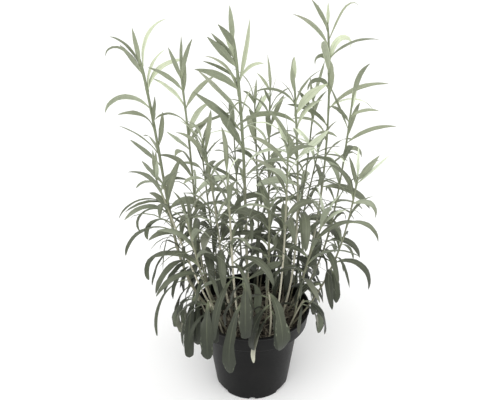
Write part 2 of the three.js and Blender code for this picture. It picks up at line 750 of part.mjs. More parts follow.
// Leaves for every plant: the single ones as they are, then the rule's,
// each turned or lifted a little until it is clear of what stands there.
function growLeaves() {
  const crowd = new Crowd(leafGap + 2);
  const leaves = Object.fromEntries(Object.keys(plants).map((name) => [name, []]));
  const entries = Object.entries(plants);

  for (const [name, plant] of entries) {
    const points = [];
    for (let k = 0; k <= stem.marks; k++) {
      const { x, y, z } = plant.curve.getPoint(k / stem.marks);
      points.push({ x, y, z, share: 0, room: leafGap / 2 + plant.radius * 0.8 });
    }
    crowd.add(points, name);
  }
  for (const [name, plant] of entries) {
    const draw = drawFrom(seedOf(name));
    for (const [at, turn, rise, fall, long, wide, roll, curl] of plant.set) {
      const swing = draw(-14, 14);
      const leaf = { at, turn, rise, fall, long, wide, swing, roll, full: fullest(name, at), curl };
      crowd.add(pointsOn(plant, leaf), name);
      leaves[name].push(leaf);
    }
  }
  for (const [name, plant] of entries) {
    const draw = drawFrom(seedOf(name));
    for (let k = 0; k < plant.leaves; k++) {
      const leaf = firstClear(ruledLeaf(name, plant, k, draw), plant, crowd, name);
      if (!leaf) continue;
      crowd.add(pointsOn(plant, leaf), name);
      leaves[name].push(leaf);
    }
  }
  return leaves;
}

function firstClear(wish, plant, crowd, name) {
  for (const shift of [0, 22, -22, 44, -44, 66, -66, 90, -90]) {
    for (const lift of [0, 14, -14]) {
      const leaf = { ...wish, turn: wish.turn + shift, rise: wish.rise + lift, fall: wish.fall + lift };
      const points = pointsOn(plant, leaf);
      if (clearOfPot(points) && withinCrown(points) && !crowd.touches(points, name)) return leaf;
    }
  }
  return null;
}

function makePlant(plant, leaves) {
  return wasm.Manifold.union([makeRod(plant), ...leaves.map((leaf) => makeLeaf(plant, leaf))]);
}

// ------------------------------------------------------------------- object

const potPlastic = new THREE.MeshStandardMaterial({ color: 0x2b2b2a, roughness: 0.55, metalness: 0 });
const pottingSoil = new THREE.MeshStandardMaterial({ color: 0x33291f, roughness: 0.95, metalness: 0 });

// Leaves pale a little from the front of the list to its end.
function leafGreen(k) {
  const colour = new THREE.Color().setHSL(0.24, 0.22, 0.34 + 0.03 * Math.sin(k * 1.7));
  return new THREE.MeshStandardMaterial({ color: colour, roughness: 0.7, metalness: 0 });
}

function meshOf(name, solid, material) {
  const mesh = new THREE.Mesh(toGeometry(solid), material);
  mesh.name = name;
  return mesh;
}

const tarragon = new THREE.Group();
const leavesOf = growLeaves();
tarragon.add(meshOf('pot', makePot(), potPlastic));
tarragon.add(meshOf('soil', makeSoil(Object.values(plants).map(makeHole)), pottingSoil));
Object.entries(plants).forEach(([name, plant], k) => {
  tarragon.add(meshOf(name, makePlant(plant, leavesOf[name]), leafGreen(k)));
});

export default tarragon;
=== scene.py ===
# A tarragon plant in its nursery pot: twenty leafy stems and ten short shoots
# in potting soil. Sizes are in millimetres until a mesh or a node tree takes them.
import math
from itertools import product

import bmesh
import bpy
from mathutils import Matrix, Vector, noise


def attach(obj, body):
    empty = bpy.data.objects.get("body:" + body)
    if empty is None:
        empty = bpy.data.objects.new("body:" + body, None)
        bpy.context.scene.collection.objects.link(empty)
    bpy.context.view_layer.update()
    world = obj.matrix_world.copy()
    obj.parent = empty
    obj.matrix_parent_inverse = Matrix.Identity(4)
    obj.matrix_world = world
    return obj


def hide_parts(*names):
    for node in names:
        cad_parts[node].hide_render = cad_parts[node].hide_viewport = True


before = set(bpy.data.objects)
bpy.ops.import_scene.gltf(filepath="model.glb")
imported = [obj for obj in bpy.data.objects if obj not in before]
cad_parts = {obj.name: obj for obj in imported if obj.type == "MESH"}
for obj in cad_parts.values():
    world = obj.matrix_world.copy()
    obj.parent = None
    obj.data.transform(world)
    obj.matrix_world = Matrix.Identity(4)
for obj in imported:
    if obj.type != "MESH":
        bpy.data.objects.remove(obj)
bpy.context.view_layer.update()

scene = bpy.context.scene
mm = 0.001


def radians(degrees):
    return degrees * math.pi / 180


def mix(low, high, share):
    return low + (high - low) * share


def clamp(value):
    return min(1, max(0, value))


# a repeatable draw of numbers between two limits
def drawFrom(seed):
    state = seed * 7919 + 104729

    def draw(low, high):
        nonlocal state
        state = (state * 16807) % 2147483647
        return low + ((high - low) * state) / 2147483647

    return draw


def seedOf(name):
    return len(name) + sum(ord(letter) for letter in name)


# a ring of points round the middle
def circlePoints(count, radius):
    angles = [2 * math.pi * k / count for k in range(count)]
    return [(radius * math.cos(angle), radius * math.sin(angle)) for angle in angles]


def addObject(name, mesh):
    thing = bpy.data.objects.new(name, mesh)
    scene.collection.objects.link(thing)
    return thing


# a mesh of points, edges and faces in metres, with named point attributes
def meshFrom(name, points, edges, faces, attributes):
    mesh = bpy.data.meshes.new(name)
    mesh.from_pydata([[value * mm for value in point] for point in points], edges, faces)
    for key, values in attributes.items():
        if isinstance(values[0], (tuple, list)):
            layer = mesh.attributes.new(key, "FLOAT_VECTOR", "POINT")
            layer.data.foreach_set("vector", [number for value in values for number in value])
        else:
            layer = mesh.attributes.new(key, "FLOAT", "POINT")
            layer.data.foreach_set("value", values)
    mesh.update()
    return mesh


# lines of points that carry named measures
class Lines:
    def __init__(self):
        self.points, self.edges, self.held = [], [], {}

    def add(self, spot, joined, **measures):
        if joined:
            self.edges.append((len(self.points) - 1, len(self.points)))
        self.points.append(spot)
        for key, value in measures.items():
            self.held.setdefault(key, []).append(value)

    def mesh(self, name):
        return meshFrom(name, self.points, self.edges, [], self.held)


# works a thing's modifiers out and keeps the plain mesh
def settle(thing):
    bpy.context.view_layer.update()
    graph = bpy.context.evaluated_depsgraph_get()
    mesh = bpy.data.meshes.new_from_object(thing.evaluated_get(graph))
    thing.modifiers.clear()
    thing.data = mesh
    return thing


# runs a node tree on a thing, with the inputs given by name
def grow(thing, tree, values):
    modifier = thing.modifiers.new("grow", "NODES")
    modifier.node_group = tree
    for item in tree.interface.items_tree:
        if item.item_type == "SOCKET" and item.in_out == "INPUT" and item.name in values:
            modifier[item.identifier] = values[item.name]
    return settle(thing)


# a node group with its sockets: inputs as name, kind and value, outputs as name and kind
def newGroup(name, groupKind, inputs, outputs):
    group = bpy.data.node_groups.new(name, groupKind)
    for socketName, kind, value in inputs:
        socket = group.interface.new_socket(name=socketName, in_out="INPUT", socket_type="NodeSocket" + kind)
        if value is not None:
            socket.default_value = value
    for socketName, kind in outputs:
        group.interface.new_socket(name=socketName, in_out="OUTPUT", socket_type="NodeSocket" + kind)
    return group, put(group, "NodeGroupInput").outputs, put(group, "NodeGroupOutput")


def newGeometryTree(name, inputs):
    inputs = [("Geometry", "Geometry", None), *inputs]
    return newGroup(name, "GeometryNodeTree", inputs, [("Geometry", "Geometry")])


# the last steps of a geometry tree: copies made real, and the material
def endTree(tree, out, geometry, material):
    real = put(tree, "GeometryNodeRealizeInstances", {"Geometry": geometry}).outputs[0]
    dressed = put(tree, "GeometryNodeSetMaterial", {"Geometry": real, "Material": material}).outputs[0]
    feed(tree, out.inputs["Geometry"], dressed)
    return tree


# adds a node, sets its properties, and feeds its inputs by name or by number
def put(tree, kind, inputs=None, **properties):
    node = tree.nodes.new(kind)
    for key, value in properties.items():
        setattr(node, key, value)
    for key, value in (inputs or {}).items():
        feed(tree, node.inputs[key], value)
    return node


def feed(tree, socket, value):
    if isinstance(value, bpy.types.NodeSocket):
        tree.links.new(value, socket)
    elif value is not None:
        socket.default_value = value


def calc(tree, operation, *values):
    return put(tree, "ShaderNodeMath", dict(enumerate(values)), operation=operation).outputs[0]


def times(tree, first, second):
    return calc(tree, "MULTIPLY", first, second)


def plus(tree, first, second):
    return calc(tree, "ADD", first, second)


def minus(tree, first, second):
    return calc(tree, "SUBTRACT", first, second)


def timesPlus(tree, value, gain, more):
    return calc(tree, "MULTIPLY_ADD", value, gain, more)


def scaled(tree, vector, size):
    node = put(tree, "ShaderNodeVectorMath", {0: vector}, operation="SCALE")
    feed(tree, node.inputs["Scale"], size)
    return node.outputs[0]


def summed(tree, first, second):
    return put(tree, "ShaderNodeVectorMath", {0: first, 1: second}, operation="ADD").outputs[0]


# a value eased from one range to another
def eased(tree, value, low, high, toLow=0.0, toHigh=1.0):
    node = put(tree, "ShaderNodeMapRange", {"Value": value, "From Min": low, "From Max": high,
               "To Min": toLow, "To Max": toHigh}, interpolation_type="SMOOTHSTEP")
    return node.outputs["Result"]


def named(tree, name, kind="FLOAT"):
    return put(tree, "GeometryNodeInputNamedAttribute", {"Name": name}, data_type=kind).outputs["Attribute"]


# the pot, the soil and the plant have the same sizes as their solids
pot = {
    "height": 95, "rimRadius": 60, "collarHeight": 17, "collarFootRadius": 58.5, "wallTopRadius": 50,
    "footRadius": 40, "footRing": 3, "floorLift": 5, "thickness": 1.3, "lipRadius": 61, "lipHeight": 2.4,
    "edge": 0.6,
}
notches = {
    "wideAngles": [-143, -37, 37, 143], "wideArc": 30, "wideHeight": 3.2, "roofShare": 0.75,
    "smallAngles": [-90, 0, 90, 180], "smallWidth": 7, "smallHeight": 3.4, "past": 3,
    "drainRadius": 4, "drainAt": 30,
}
soil = {"top": 82, "roughness": 1.1, "clearance": 0.3}
# tip: a stem's radius there, as a share of its foot's. bare: the share below the leaves
stem = {"tip": 0.7, "bare": 0.18, "marks": 160}
# fused: up to this share leaves of one plant may meet. start: how far out in the stem they begin
blade = {"steps": 24, "fused": 0.4, "start": 0.9, "stalk": 0.16}
leafRule = {
    "golden": 137.5, "crowding": 0.8, "rise": (18, 74), "fall": (-100, 40), "long": (52, 38), "bulge": 0.3,
    "wide": (12, 5), "full": (0.74, 0.44), "curl": (0.42, 1.15),
    "shootRise": 32, "shootFull": (0.74, 0.7), "shootShare": 0.12, "setSwing": (-14, 14),
    "turnsTried": (0, 22, -22, 44, -44, 66, -66, 90, -90), "risesTried": (0, 14, -14),
}
# how far a leaf may stray from the rule: in degrees, in steps between leaves, and as factors
leafStray = {
    "turn": (-20, 20), "rise": (-14, 14), "fall": (-24, 24), "swing": (-36, 36), "roll": (-50, 50),
    "at": (-0.3, 0.3), "long": (0.7, 1.14), "wide": (0.75, 1.15), "curl": (0.8, 1.5),
}
# half widths and depths, the heights between which they grow, and a hem that leaves stay above
crown = {"lowWide": 78, "lowDeep": 76, "wide": 120, "deep": 87, "from": 110, "to": 200, "hem": 8}
leafGap = 3.6  # from one main leaf to another
rimGap = 3  # from a leaf to the pot and the soil
crowdCube = leafGap + 2

# path: foot, two pulls and tip. leaves: how many the rule tries, from the turn `first` and
# the share `from` on. set: single leaves [share, turn, rise, fall, length, width, roll, curl]
plants = {
    "stem_01": {
        "path": [[-32, 2, 72], [-90, 2, 122], [-76, 0, 205], [-98, 0, 347]],
        "radius": 1.6, "leaves": 6, "first": 60, "from": 0.36,
        "set": [
            [0.99, 190, 84, 80, 31, 4.4, 75, 1], [0.985, 176, 68, 4, 38, 4.2, 55, 1.6],
            [0.97, 170, 60, 42, 31, 7.2, 60, 1.3], [0.975, 188, 62, -100, 45, 4.2, 45, 2.6],
            [0.985, 10, 88, 8, 50, 4, 45, 1.7], [0.935, 16, 80, -14, 50, 5, 50, 1],
            [0.895, 184, 48, -78, 50, 6.6, 55, 1.3], [0.86, 300, 82, 70, 26, 6, 30, 1],
            [0.8, 15, 76, 84, 32, 5, 60, 1], [0.78, 176, 56, 16, 45, 2.8, 54, 1],
            [0.745, 188, 54, 38, 37, 5.4, 60, 1], [0.685, 180, 56, 46, 31, 7, 60, 1],
            [0.67, 164, 50, -60, 36, 4, 54, 1], [0.62, 182, 40, -68, 58, 3.2, 54, 0.9],
            [0.6, 12, 66, -84, 48, 8, 48, 0.9], [0.59, 190, 38, -130, 52, 3.4, 54, 1.2],
            [0.55, 184, 55, -110, 42, 6.5, 48, 0.8], [0.52, 180, 30, -86, 66, 6.5, 48, 0.95],
            [0.45, 215, 20, -84, 50, 9, 48, 0.5], [0.42, 182, 30, -112, 58, 7, 48, 0.9],
            [0.28, 184, 34, -96, 88, 4.4, 54, 0.36], [0.25, 215, 10, -92, 42, 9, 48, 0.45],
        ],
    },
    "stem_02": {
        "path": [[-30, 10, 72], [-64, 10, 112], [-50, -4, 195], [-63, -4, 338]],
        "radius": 1.2, "leaves": 11, "first": 10,
        "set": [
            [0.99, 300, 86, 80, 34, 4, 20, 1], [0.985, 185, 74, 66, 28, 5.2, 60, 1],
            [0.96, 190, 54, 12, 36, 5.6, 55, 1.1],
            [0.955, 60, 84, 86, 32, 5, 60, 1], [0.92, 8, 66, 25, 40, 5, 50, 1],
            [0.885, 158, 48, -50, 38, 3.2, 54, 1],
            [0.87, 4, 26, 18, 46, 3, 54, 1], [0.84, 12, 56, 40, 32, 4.8, 54, 1],
            [0.82, 184, 46, 34, 26, 6.5, 50, 1],
            [0.68, 20, 66, -30, 48, 6, 48, 0.9],
        ],
    },
    "stem_03": {
        "path": [[0, 0, 72], [-10, 0, 130], [-2, -14, 246], [-16, -14, 366]],
        "radius": 1.7, "leaves": 13, "first": 40, "from": 0.36,
        "set": [
            [0.99, 200, 86, 84, 29, 4.8, 70, 1], [0.98, 175, 58, 52, 22, 4.4, 60, 1],
            [0.955, 180, 46, 46, 28, 5, 60, 1],
            [0.935, 188, 52, 40, 34, 7.5, 60, 1], [0.9, 5, 76, 84, 52, 4.4, 55, 1],
            [0.905, 168, 40, 10, 34, 4.5, 54, 1],
            [0.88, 186, 48, 4, 42, 7.8, 60, 1], [0.85, 220, -5, -82, 26, 5.5, 54, 0.5],
            [0.82, 174, 52, 40, 52, 7.5, 48, 1],
            [0.775, 188, 48, 34, 54, 8, 60, 1], [0.73, 194, 66, 52, 44, 9, 48, 1],
            [0.6, 170, 56, 10, 48, 7, 50, 1],
        ],
    },
    "stem_04": {
        "path": [[4, 22, 72], [10, 24, 150], [4, 30, 240], [2, 34, 305]],
        "radius": 1, "leaves": 12, "first": 90, "set": [],
    },
    "stem_05": {
        "path": [[28, -6, 72], [50, -14, 143], [43, -18, 241], [35, -18, 334]],
        "radius": 1.1, "leaves": 11, "first": 150, "from": 0.4,
        "set": [
            [0.99, 100, 88, 86, 20, 3.8, 0, 1], [0.96, 190, 80, 84, 22, 4, 54, 1],
            [0.92, 178, 60, -35, 42, 3.4, 54, 1],
            [0.89, 12, 66, 16, 38, 7.5, 48, 1.1], [0.86, 184, 44, -46, 60, 7.5, 48, 0.9],
            [0.75, 8, 40, 44, 36, 6, 50, 1],
            [0.72, 186, 40, -60, 56, 7, 48, 0.9],
        ],
    },
    "stem_06": {
        "path": [[36, 14, 72], [66, 14, 112], [80, 18, 264], [66, 18, 376]],
        "radius": 1.2, "leaves": 11, "first": 200, "from": 0.34,
        "set": [
            [0.99, 100, 87, 82, 20, 3.2, 0, 1], [0.985, 186, 68, 46, 29, 4, 54, 1],
            [0.945, 180, 58, 12, 43, 4.4, 54, 1.3],
            [0.96, 6, 68, -150, 47, 2.8, 30, 5], [0.905, 10, 84, -150, 42, 6, 48, 2.2],
            [0.895, 200, 88, -120, 25, 6, 48, 1.3],
            [0.835, 186, 74, -104, 30, 6.5, 48, 1.2], [0.785, 4, 52, -8, 62, 4.4, 54, 1],
            [0.74, 182, 60, 0, 46, 6.5, 48, 0.9],
            [0.57, 0, 10, -64, 60, 8.5, 48, 1],
        ],
    },
    "stem_07": {
        "path": [[30, 4, 72], [76, 4, 122], [84, 4, 190], [91, 4, 322]],
        "radius": 1, "leaves": 9, "first": 300, "from": 0.38,
        "set": [
            [0.95, 20, 86, 84, 28, 4, 60, 1], [0.93, 5, 40, -20, 28, 3.2, 54, 1],
            [0.9, 178, 66, 62, 46, 2.8, 54, 1],
            [0.86, 3, 44, -8, 50, 4.2, 54, 1], [0.84, 14, 20, -104, 24, 4.8, 54, 1.4],
            [0.78, 182, 60, -46, 52, 4.6, 54, 0.9],
            [0.5, 0, 34, -80, 48, 7, 48, 0.8],
        ],
    },
    "stem_08": {
        "path": [[34, -20, 72], [74, -18, 120], [90, -16, 165], [97, -16, 244]],
        "radius": 1, "leaves": 8, "first": 30,
        "set": [
            [0.99, 100, 88, 82, 32, 5.2, 30, 1], [0.985, 8, 54, 44, 30, 5.6, 50, 1],
            [0.97, 4, 46, 38, 40, 2.8, 54, 1],
            [0.965, 186, 80, 66, 30, 4.2, 54, 1], [0.88, 2, 22, -116, 36, 5.6, 54, 1.3],
            [0.78, 2, 24, -84, 42, 4.6, 54, 0.9],
            [0.66, 12, 4, -90, 26, 3.5, 54, 0.6], [0.54, 0, 40, -102, 60, 6.5, 48, 0.8],
            [0.5, 285, 12, -92, 36, 8.5, 20, 0.5],
            [0.58, 20, -10, -92, 22, 4, 54, 0.5],
        ],
    },
    "stem_09": {
        "path": [[-26, 24, 72], [-42, 34, 130], [-46, 40, 180], [-52, 40, 258]],
        "radius": 1, "leaves": 12, "first": 75, "set": [],
    },
    "stem_10": {
        "path": [[22, 28, 72], [46, 34, 140], [58, 38, 220], [60, 40, 310]],
        "radius": 1, "leaves": 13, "first": 120, "set": [],
    },
    "stem_11": {
        "path": [[20, -26, 72], [30, -38, 130], [30, -40, 200], [30, -40, 288]],
        "radius": 1, "leaves": 14, "first": 210, "from": 0.48, "set": [],
    },
    "stem_12": {
        "path": [[-18, -10, 72], [-34, -18, 130], [-28, -24, 200], [-44, -30, 285]],
        "radius": 1.1, "leaves": 13, "first": 330, "from": 0.45, "set": [],
    },
    "stem_13": {
        "path": [[-10, -30, 72], [-20, -44, 130], [-18, -48, 190], [-22, -52, 264]],
        "radius": 1.1, "leaves": 12, "first": 20, "from": 0.5,
        "set": [
            [0.45, 235, 10, -92, 66, 8, 0, 0.5],
        ],
    },
    "stem_14": {
        "path": [[14, 4, 72], [20, 8, 150], [14, 10, 230], [16, 8, 318]],
        "radius": 1.1, "leaves": 13, "first": 250, "from": 0.4, "set": [],
    },
    "stem_15": {
        "path": [[-28, -16, 72], [-58, -22, 130], [-70, -24, 190], [-88, -24, 246]],
        "radius": 1, "leaves": 11, "first": 170, "from": 0.42, "set": [],
    },
    "stem_16": {
        "path": [[38, -24, 72], [46, -27, 100], [43, -32, 150], [66, -52, 225]],
        "radius": 1, "leaves": 11, "first": 280, "from": 0.5, "set": [],
    },
    "stem_17": {
        "path": [[-22, -28, 72], [-42, -44, 120], [-50, -50, 170], [-58, -54, 220]],
        "radius": 1, "leaves": 11, "first": 200, "from": 0.5, "set": [],
    },
    "stem_18": {
        "path": [[13, -18, 72], [16, -20, 110], [17, -28, 165], [14, -46, 235]],
        "radius": 1, "leaves": 11, "first": 100, "from": 0.55, "set": [],
    },
    "stem_19": {
        "path": [[-8, 36, 72], [-14, 52, 130], [-16, 56, 200], [-20, 60, 280]],
        "radius": 1, "leaves": 13, "first": 45, "set": [],
    },
    "stem_20": {
        "path": [[24, 36, 72], [46, 52, 120], [60, 60, 180], [72, 62, 256]],
        "radius": 1, "leaves": 13, "first": 160, "set": [],
    },
    "shoot_01": {
        "path": [[-40, -14, 72], [-46, -18, 92], [-52, -21, 106], [-57, -24, 122]],
        "radius": 1, "leaves": 3, "first": 160, "from": 0.5,
        "set": [[0.97, 257, 14, -94, 67, 11.5, 0, 0.45], [0.85, 182, 34, -100, 48, 9, 50, 0.5]],
    },
    "shoot_02": {
        "path": [[-28, -34, 72], [-32, -38, 95], [-36, -42, 110], [-42, -48, 131]],
        "radius": 1, "leaves": 1, "first": 130, "from": 0.5,
        "set": [
            [0.98, 266, 14, -98, 60, 13, 0, 0.45], [0.86, 282, 24, -96, 39, 8, 10, 0.45],
            [0.9, 195, 40, -92, 42, 7, 30, 0.6],
        ],
    },
    "shoot_03": {
        "path": [[-6, -40, 72], [-9, -46, 100], [-11, -50, 125], [-6, -54, 158]],
        "radius": 1, "leaves": 1, "first": 60, "from": 0.5,
        "set": [
            [0.72, 242, 8, -96, 75, 12.5, 0, 0.45], [0.97, 270, 36, -92, 56, 13, 0, 0.3],
            [0.95, 195, 20, -92, 30, 6, 0, 0.4], [0.98, 350, 44, 30, 40, 8, 40, 1],
            [0.99, 178, 26, -50, 50, 7, 48, 0.8], [0.8, 205, 20, -96, 40, 7, 0, 0.5],
        ],
    },
    "shoot_04": {
        "path": [[16, -42, 72], [18, -45, 95], [19, -48, 115], [15, -54, 144]],
        "radius": 1, "leaves": 1, "first": 100, "from": 0.5,
        "set": [
            [0.98, 288, 52, -106, 64, 13, 0, 0.5], [0.8, 222, 20, -98, 52, 12, 0, 0.45],
            [0.72, 292, 20, -94, 42, 10, 0, 0.5], [0.62, 228, 10, -96, 54, 6, 0, 0.5],
        ],
    },
    "shoot_05": {
        "path": [[34, -28, 72], [40, -31, 95], [44, -34, 108], [50, -37, 124]],
        "radius": 1, "leaves": 1, "first": 60, "from": 0.5,
        "set": [
            [0.97, 326, 30, -100, 46, 7, 0, 0.6], [0.88, 350, 0, -92, 34, 7.5, 0, 0.6],
        ],
    },
    "shoot_06": {
        "path": [[40, 18, 72], [43, 20, 92], [46, 23, 108], [52, 26, 127]],
        "radius": 1, "leaves": 6, "first": 0, "from": 0.5, "set": [],
    },
    "shoot_07": {
        "path": [[8, 44, 72], [10, 46, 92], [12, 51, 108], [14, 57, 126]],
        "radius": 1, "leaves": 3, "first": 90, "from": 0.5,
        "set": [[0.97, 85, 24, -96, 54, 11, 0, 0.5], [0.8, 120, 30, -92, 44, 9, 10, 0.5]],
    },
    "shoot_08": {
        "path": [[-32, 30, 72], [-36, 34, 92], [-42, 38, 108], [-45, 41, 126]],
        "radius": 1, "leaves": 5, "first": 118, "from": 0.5, "set": [],
    },
    "shoot_09": {
        "path": [[-42, 16, 72], [-46, 20, 92], [-50, 23, 108], [-52, 27, 127]],
        "radius": 1, "leaves": 3, "first": 190, "from": 0.5,
        "set": [[0.97, 165, 24, -96, 54, 11, 0, 0.5], [0.8, 205, 30, -92, 44, 9, 10, 0.5]],
    },
    "shoot_10": {
        "path": [[32, 32, 72], [35, 35, 92], [39, 39, 108], [43, 44, 127]],
        "radius": 1, "leaves": 3, "first": 30, "from": 0.5,
        "set": [[0.97, 40, 24, -96, 54, 11, 0, 0.5], [0.8, 2, 30, -92, 44, 9, 10, 0.5]],
    },
}


def pointOn(path, t):
    k = 1 - t
    weights = (k * k * k, 3 * k * k * t, 3 * k * t * t, t * t * t)
    return [sum(weight * point[axis] for weight, point in zip(weights, path)) for axis in range(3)]


# the midrib leaves the stem's side at the leaf's rise and bends to its fall
def midribOf(plant, leaf, steps=blade["steps"]):
    x, y, z = pointOn(plant["path"], leaf["at"])
    off = plant["radius"] * mix(1, stem["tip"], leaf["at"]) * blade["start"]
    out = radians(leaf["turn"])
    x, y = x + off * math.cos(out), y + off * math.sin(out)
    points = [[x, y, z]]
    step = leaf["long"] / steps
    for k in range(steps):
        share = (k + 0.5) / steps
        lift = radians(mix(leaf["rise"], leaf["fall"], share ** leaf["curl"]))
        turn = radians(leaf["turn"] + leaf["swing"] * share)
        x += step * math.cos(lift) * math.cos(turn)
        y += step * math.cos(lift) * math.sin(turn)
        z += step * math.sin(lift)
        points.append([x, y, z])
    return points


# half the blade's width: narrow at the stalk, full at one share, then a tip
def halfWidth(leaf, share):
    full = leaf["full"]
    tip = mix(1, 0.5, clamp((full - 0.45) * 5))
    base = (tip * full) / (1 - full)
    peak = full ** base * (1 - full) ** tip
    body = (share ** base * (1 - share) ** tip) / peak if 0 < share < 1 else 0
    return (leaf["wide"] / 2) * max(body, blade["stalk"] * (1 - share))


# directions of the blade at one share: across it, and up from its face
def bladeSides(leaf, share):
    turn = radians(leaf["turn"] + leaf["swing"] * share)
    lift = radians(mix(leaf["rise"], leaf["fall"], share ** leaf["curl"]))
    roll = radians(leaf["roll"])
    level = (-math.sin(turn), math.cos(turn), 0)
    steep = (-math.sin(lift) * math.cos(turn), -math.sin(lift) * math.sin(turn), math.cos(lift))
    across = [value * math.cos(roll) + steep[k] * math.sin(roll) for k, value in enumerate(level)]
    up = [value * math.cos(roll) - level[k] * math.sin(roll) for k, value in enumerate(steep)]
    return across, up


# points spread over a leaf, close enough that nothing slips between them
def pointsOn(plant, leaf, room):
    rib = midribOf(plant, leaf)
    points = []
    for step in range(1, blade["steps"] + 1):
        share = step / blade["steps"]
        half = halfWidth(leaf, share)
        across, _ = bladeSides(leaf, share)
        lanes = (0, 0.5, 1, -0.5, -1) if half > 2.5 else (0, 1, -1) if half > 1.2 else (0,)
        for lane in lanes:
            points.append((
                rib[step][0] + across[0] * half * lane,
                rib[step][1] + across[1] * half * lane,
                rib[step][2] + across[2] * half * lane,
                share, room,
            ))
    return points


class Crowd:
    def __init__(self, size):
        self.size = size
        self.cubes = {}

    def cubeOf(self, point):
        return tuple(math.floor(value / self.size) for value in point[:3])

    def add(self, points, owner):
        for point in points:
            self.cubes.setdefault(self.cubeOf(point), []).append((*point, owner))

    # what stands in a point's cube and in those round it
    def near(self, point):
        for cube in product(*((place - 1, place, place + 1) for place in self.cubeOf(point))):
            yield from self.cubes.get(cube, ())

    # whether a point comes too near another plant's. a plant's own leaves may meet near their stalks
    def touches(self, points, owner):
        for point in points:
            x, y, z, share, room = point
            for otherX, otherY, otherZ, otherShare, otherRoom, other in self.near(point):
                if other == owner and min(share, otherShare) < blade["fused"]:
                    continue
                reach = room + otherRoom
                if (x - otherX) ** 2 + (y - otherY) ** 2 + (z - otherZ) ** 2 < reach * reach:
                    return True
        return False


# clear of the pot and the soil, and never down at the floor
def clearOfPot(points):
    for x, y, z, *_ in points:
        out = math.hypot(x, y)
        if out > pot["lipRadius"] + rimGap:
            if z <= crown["hem"]:
                return False
        elif z <= pot["height"] + rimGap:
            inside = pot["collarFootRadius"] - pot["thickness"] - 2 * rimGap
            if not (out < inside and z > soil["top"] + rimGap):
                return False
    return True


# within the plant's outline: narrower near the pot, wider above it
def withinCrown(points):
    for x, y, z, *_ in points:
        share = clamp((z - crown["from"]) / (crown["to"] - crown["from"]))
        wide = mix(crown["lowWide"], crown["wide"], share)
        deep = mix(crown["lowDeep"], crown["deep"], share)
        if not (abs(x) < wide and abs(y) < deep):
            return False
    return True


# where a blade is widest: past its middle low down, before it at the top
def fullest(name, at):
    return mix(*(leafRule["full"] if name.startswith("stem") else leafRule["shootFull"]), at)


# the rule's k-th leaf on a stem: low ones broad and drooping, high ones
# slender and upright, each turned by the golden angle from the last
def ruledLeaf(name, plant, k, draw):
    start = plant.get("from", stem["bare"])
    place = (k + 0.5 + draw(*leafStray["at"])) / plant["leaves"]
    at = start + (1 - start) * place ** leafRule["crowding"]
    low = name.startswith("shoot")
    high = leafRule["shootShare"] * at if low else at
    footRise = leafRule["shootRise"] if low else leafRule["rise"][0]
    between = 1 + leafRule["bulge"] * math.sin(math.pi * high)
    return {
        "at": at,
        "turn": plant["first"] + leafRule["golden"] * k + draw(*leafStray["turn"]),
        "rise": mix(footRise, leafRule["rise"][1], high ** 0.8) + draw(*leafStray["rise"]),
        "fall": mix(*leafRule["fall"], high ** 2.4) + draw(*leafStray["fall"]),
        "long": mix(*leafRule["long"], high) * between * draw(*leafStray["long"]),
        "wide": mix(*leafRule["wide"], min(1, high * 1.05)) * draw(*leafStray["wide"]),
        "swing": draw(*leafStray["swing"]),
        "roll": draw(*leafStray["roll"]),
        "full": fullest(name, at),
        "curl": mix(*leafRule["curl"], high) * draw(*leafStray["curl"]),
    }


# the first place near the wish that is clear of what stands there
def firstClear(wish, plant, crowd, name, room):
    for shift, lift in product(leafRule["turnsTried"], leafRule["risesTried"]):
        moved = {"turn": wish["turn"] + shift, "rise": wish["rise"] + lift, "fall": wish["fall"] + lift}
        leaf = {**wish, **moved}
        points = pointsOn(plant, leaf, room)
        if clearOfPot(points) and withinCrown(points) and not crowd.touches(points, name):
            return leaf
    return None


def growLeaves(crowd):
    room = leafGap / 2
    leaves = {name: [] for name in plants}
    for name, plant in plants.items():
        marks = [pointOn(plant["path"], k / stem["marks"]) for k in range(stem["marks"] + 1)]
        crowd.add([(*mark, 0, room + plant["radius"] * 0.8) for mark in marks], name)
    for name, plant in plants.items():
        draw = drawFrom(seedOf(name))
        for at, turn, rise, fall, long, wide, roll, curl in plant["set"]:
            leaf = {"at": at, "turn": turn, "rise": rise, "fall": fall, "long": long, "wide": wide,
                    "roll": roll, "swing": draw(*leafRule["setSwing"]), "full": fullest(name, at),
                    "curl": curl}
            crowd.add(pointsOn(plant, leaf, room), name)
            leaves[name].append(leaf)
    for name, plant in plants.items():
        draw = drawFrom(seedOf(name))
        for k in range(plant["leaves"]):
            leaf = firstClear(ruledLeaf(name, plant, k, draw), plant, crowd, name, room)
            if leaf:
                crowd.add(pointsOn(plant, leaf, room), name)
                leaves[name].append(leaf)
    return leaves


crowd = Crowd(crowdCube)
leavesOf = growLeaves(crowd)
print("leaves placed:", sum(len(leaves) for leaves in leavesOf.values()))


# young leaves fill in between the main ones: a tuft at the tip of each stem that
# has no set leaves, and smaller leaves by the same rule, closer to their neighbours.
# more: how many are tried for each main one. from, to: the share of a stem they stand on
young = {
    "tipLeaves": 5, "tipFrom": 0.9, "tipLong": (18, 34), "tipWide": (2.6, 4.0), "tipRise": (60, 86),
    "tipDroop": (4, 80), "tipSwing": (-20, 20), "tipRoll": (-50, 50), "tipFull": 0.44, "tipCurl": 1.2,
    "tipTurn": 77,
    "more": 1.9, "from": 0.32, "to": 0.68, "size": (0.75, 1.2), "width": (0.28, 0.55), "room": 0.8,
    "turn": 68,
}


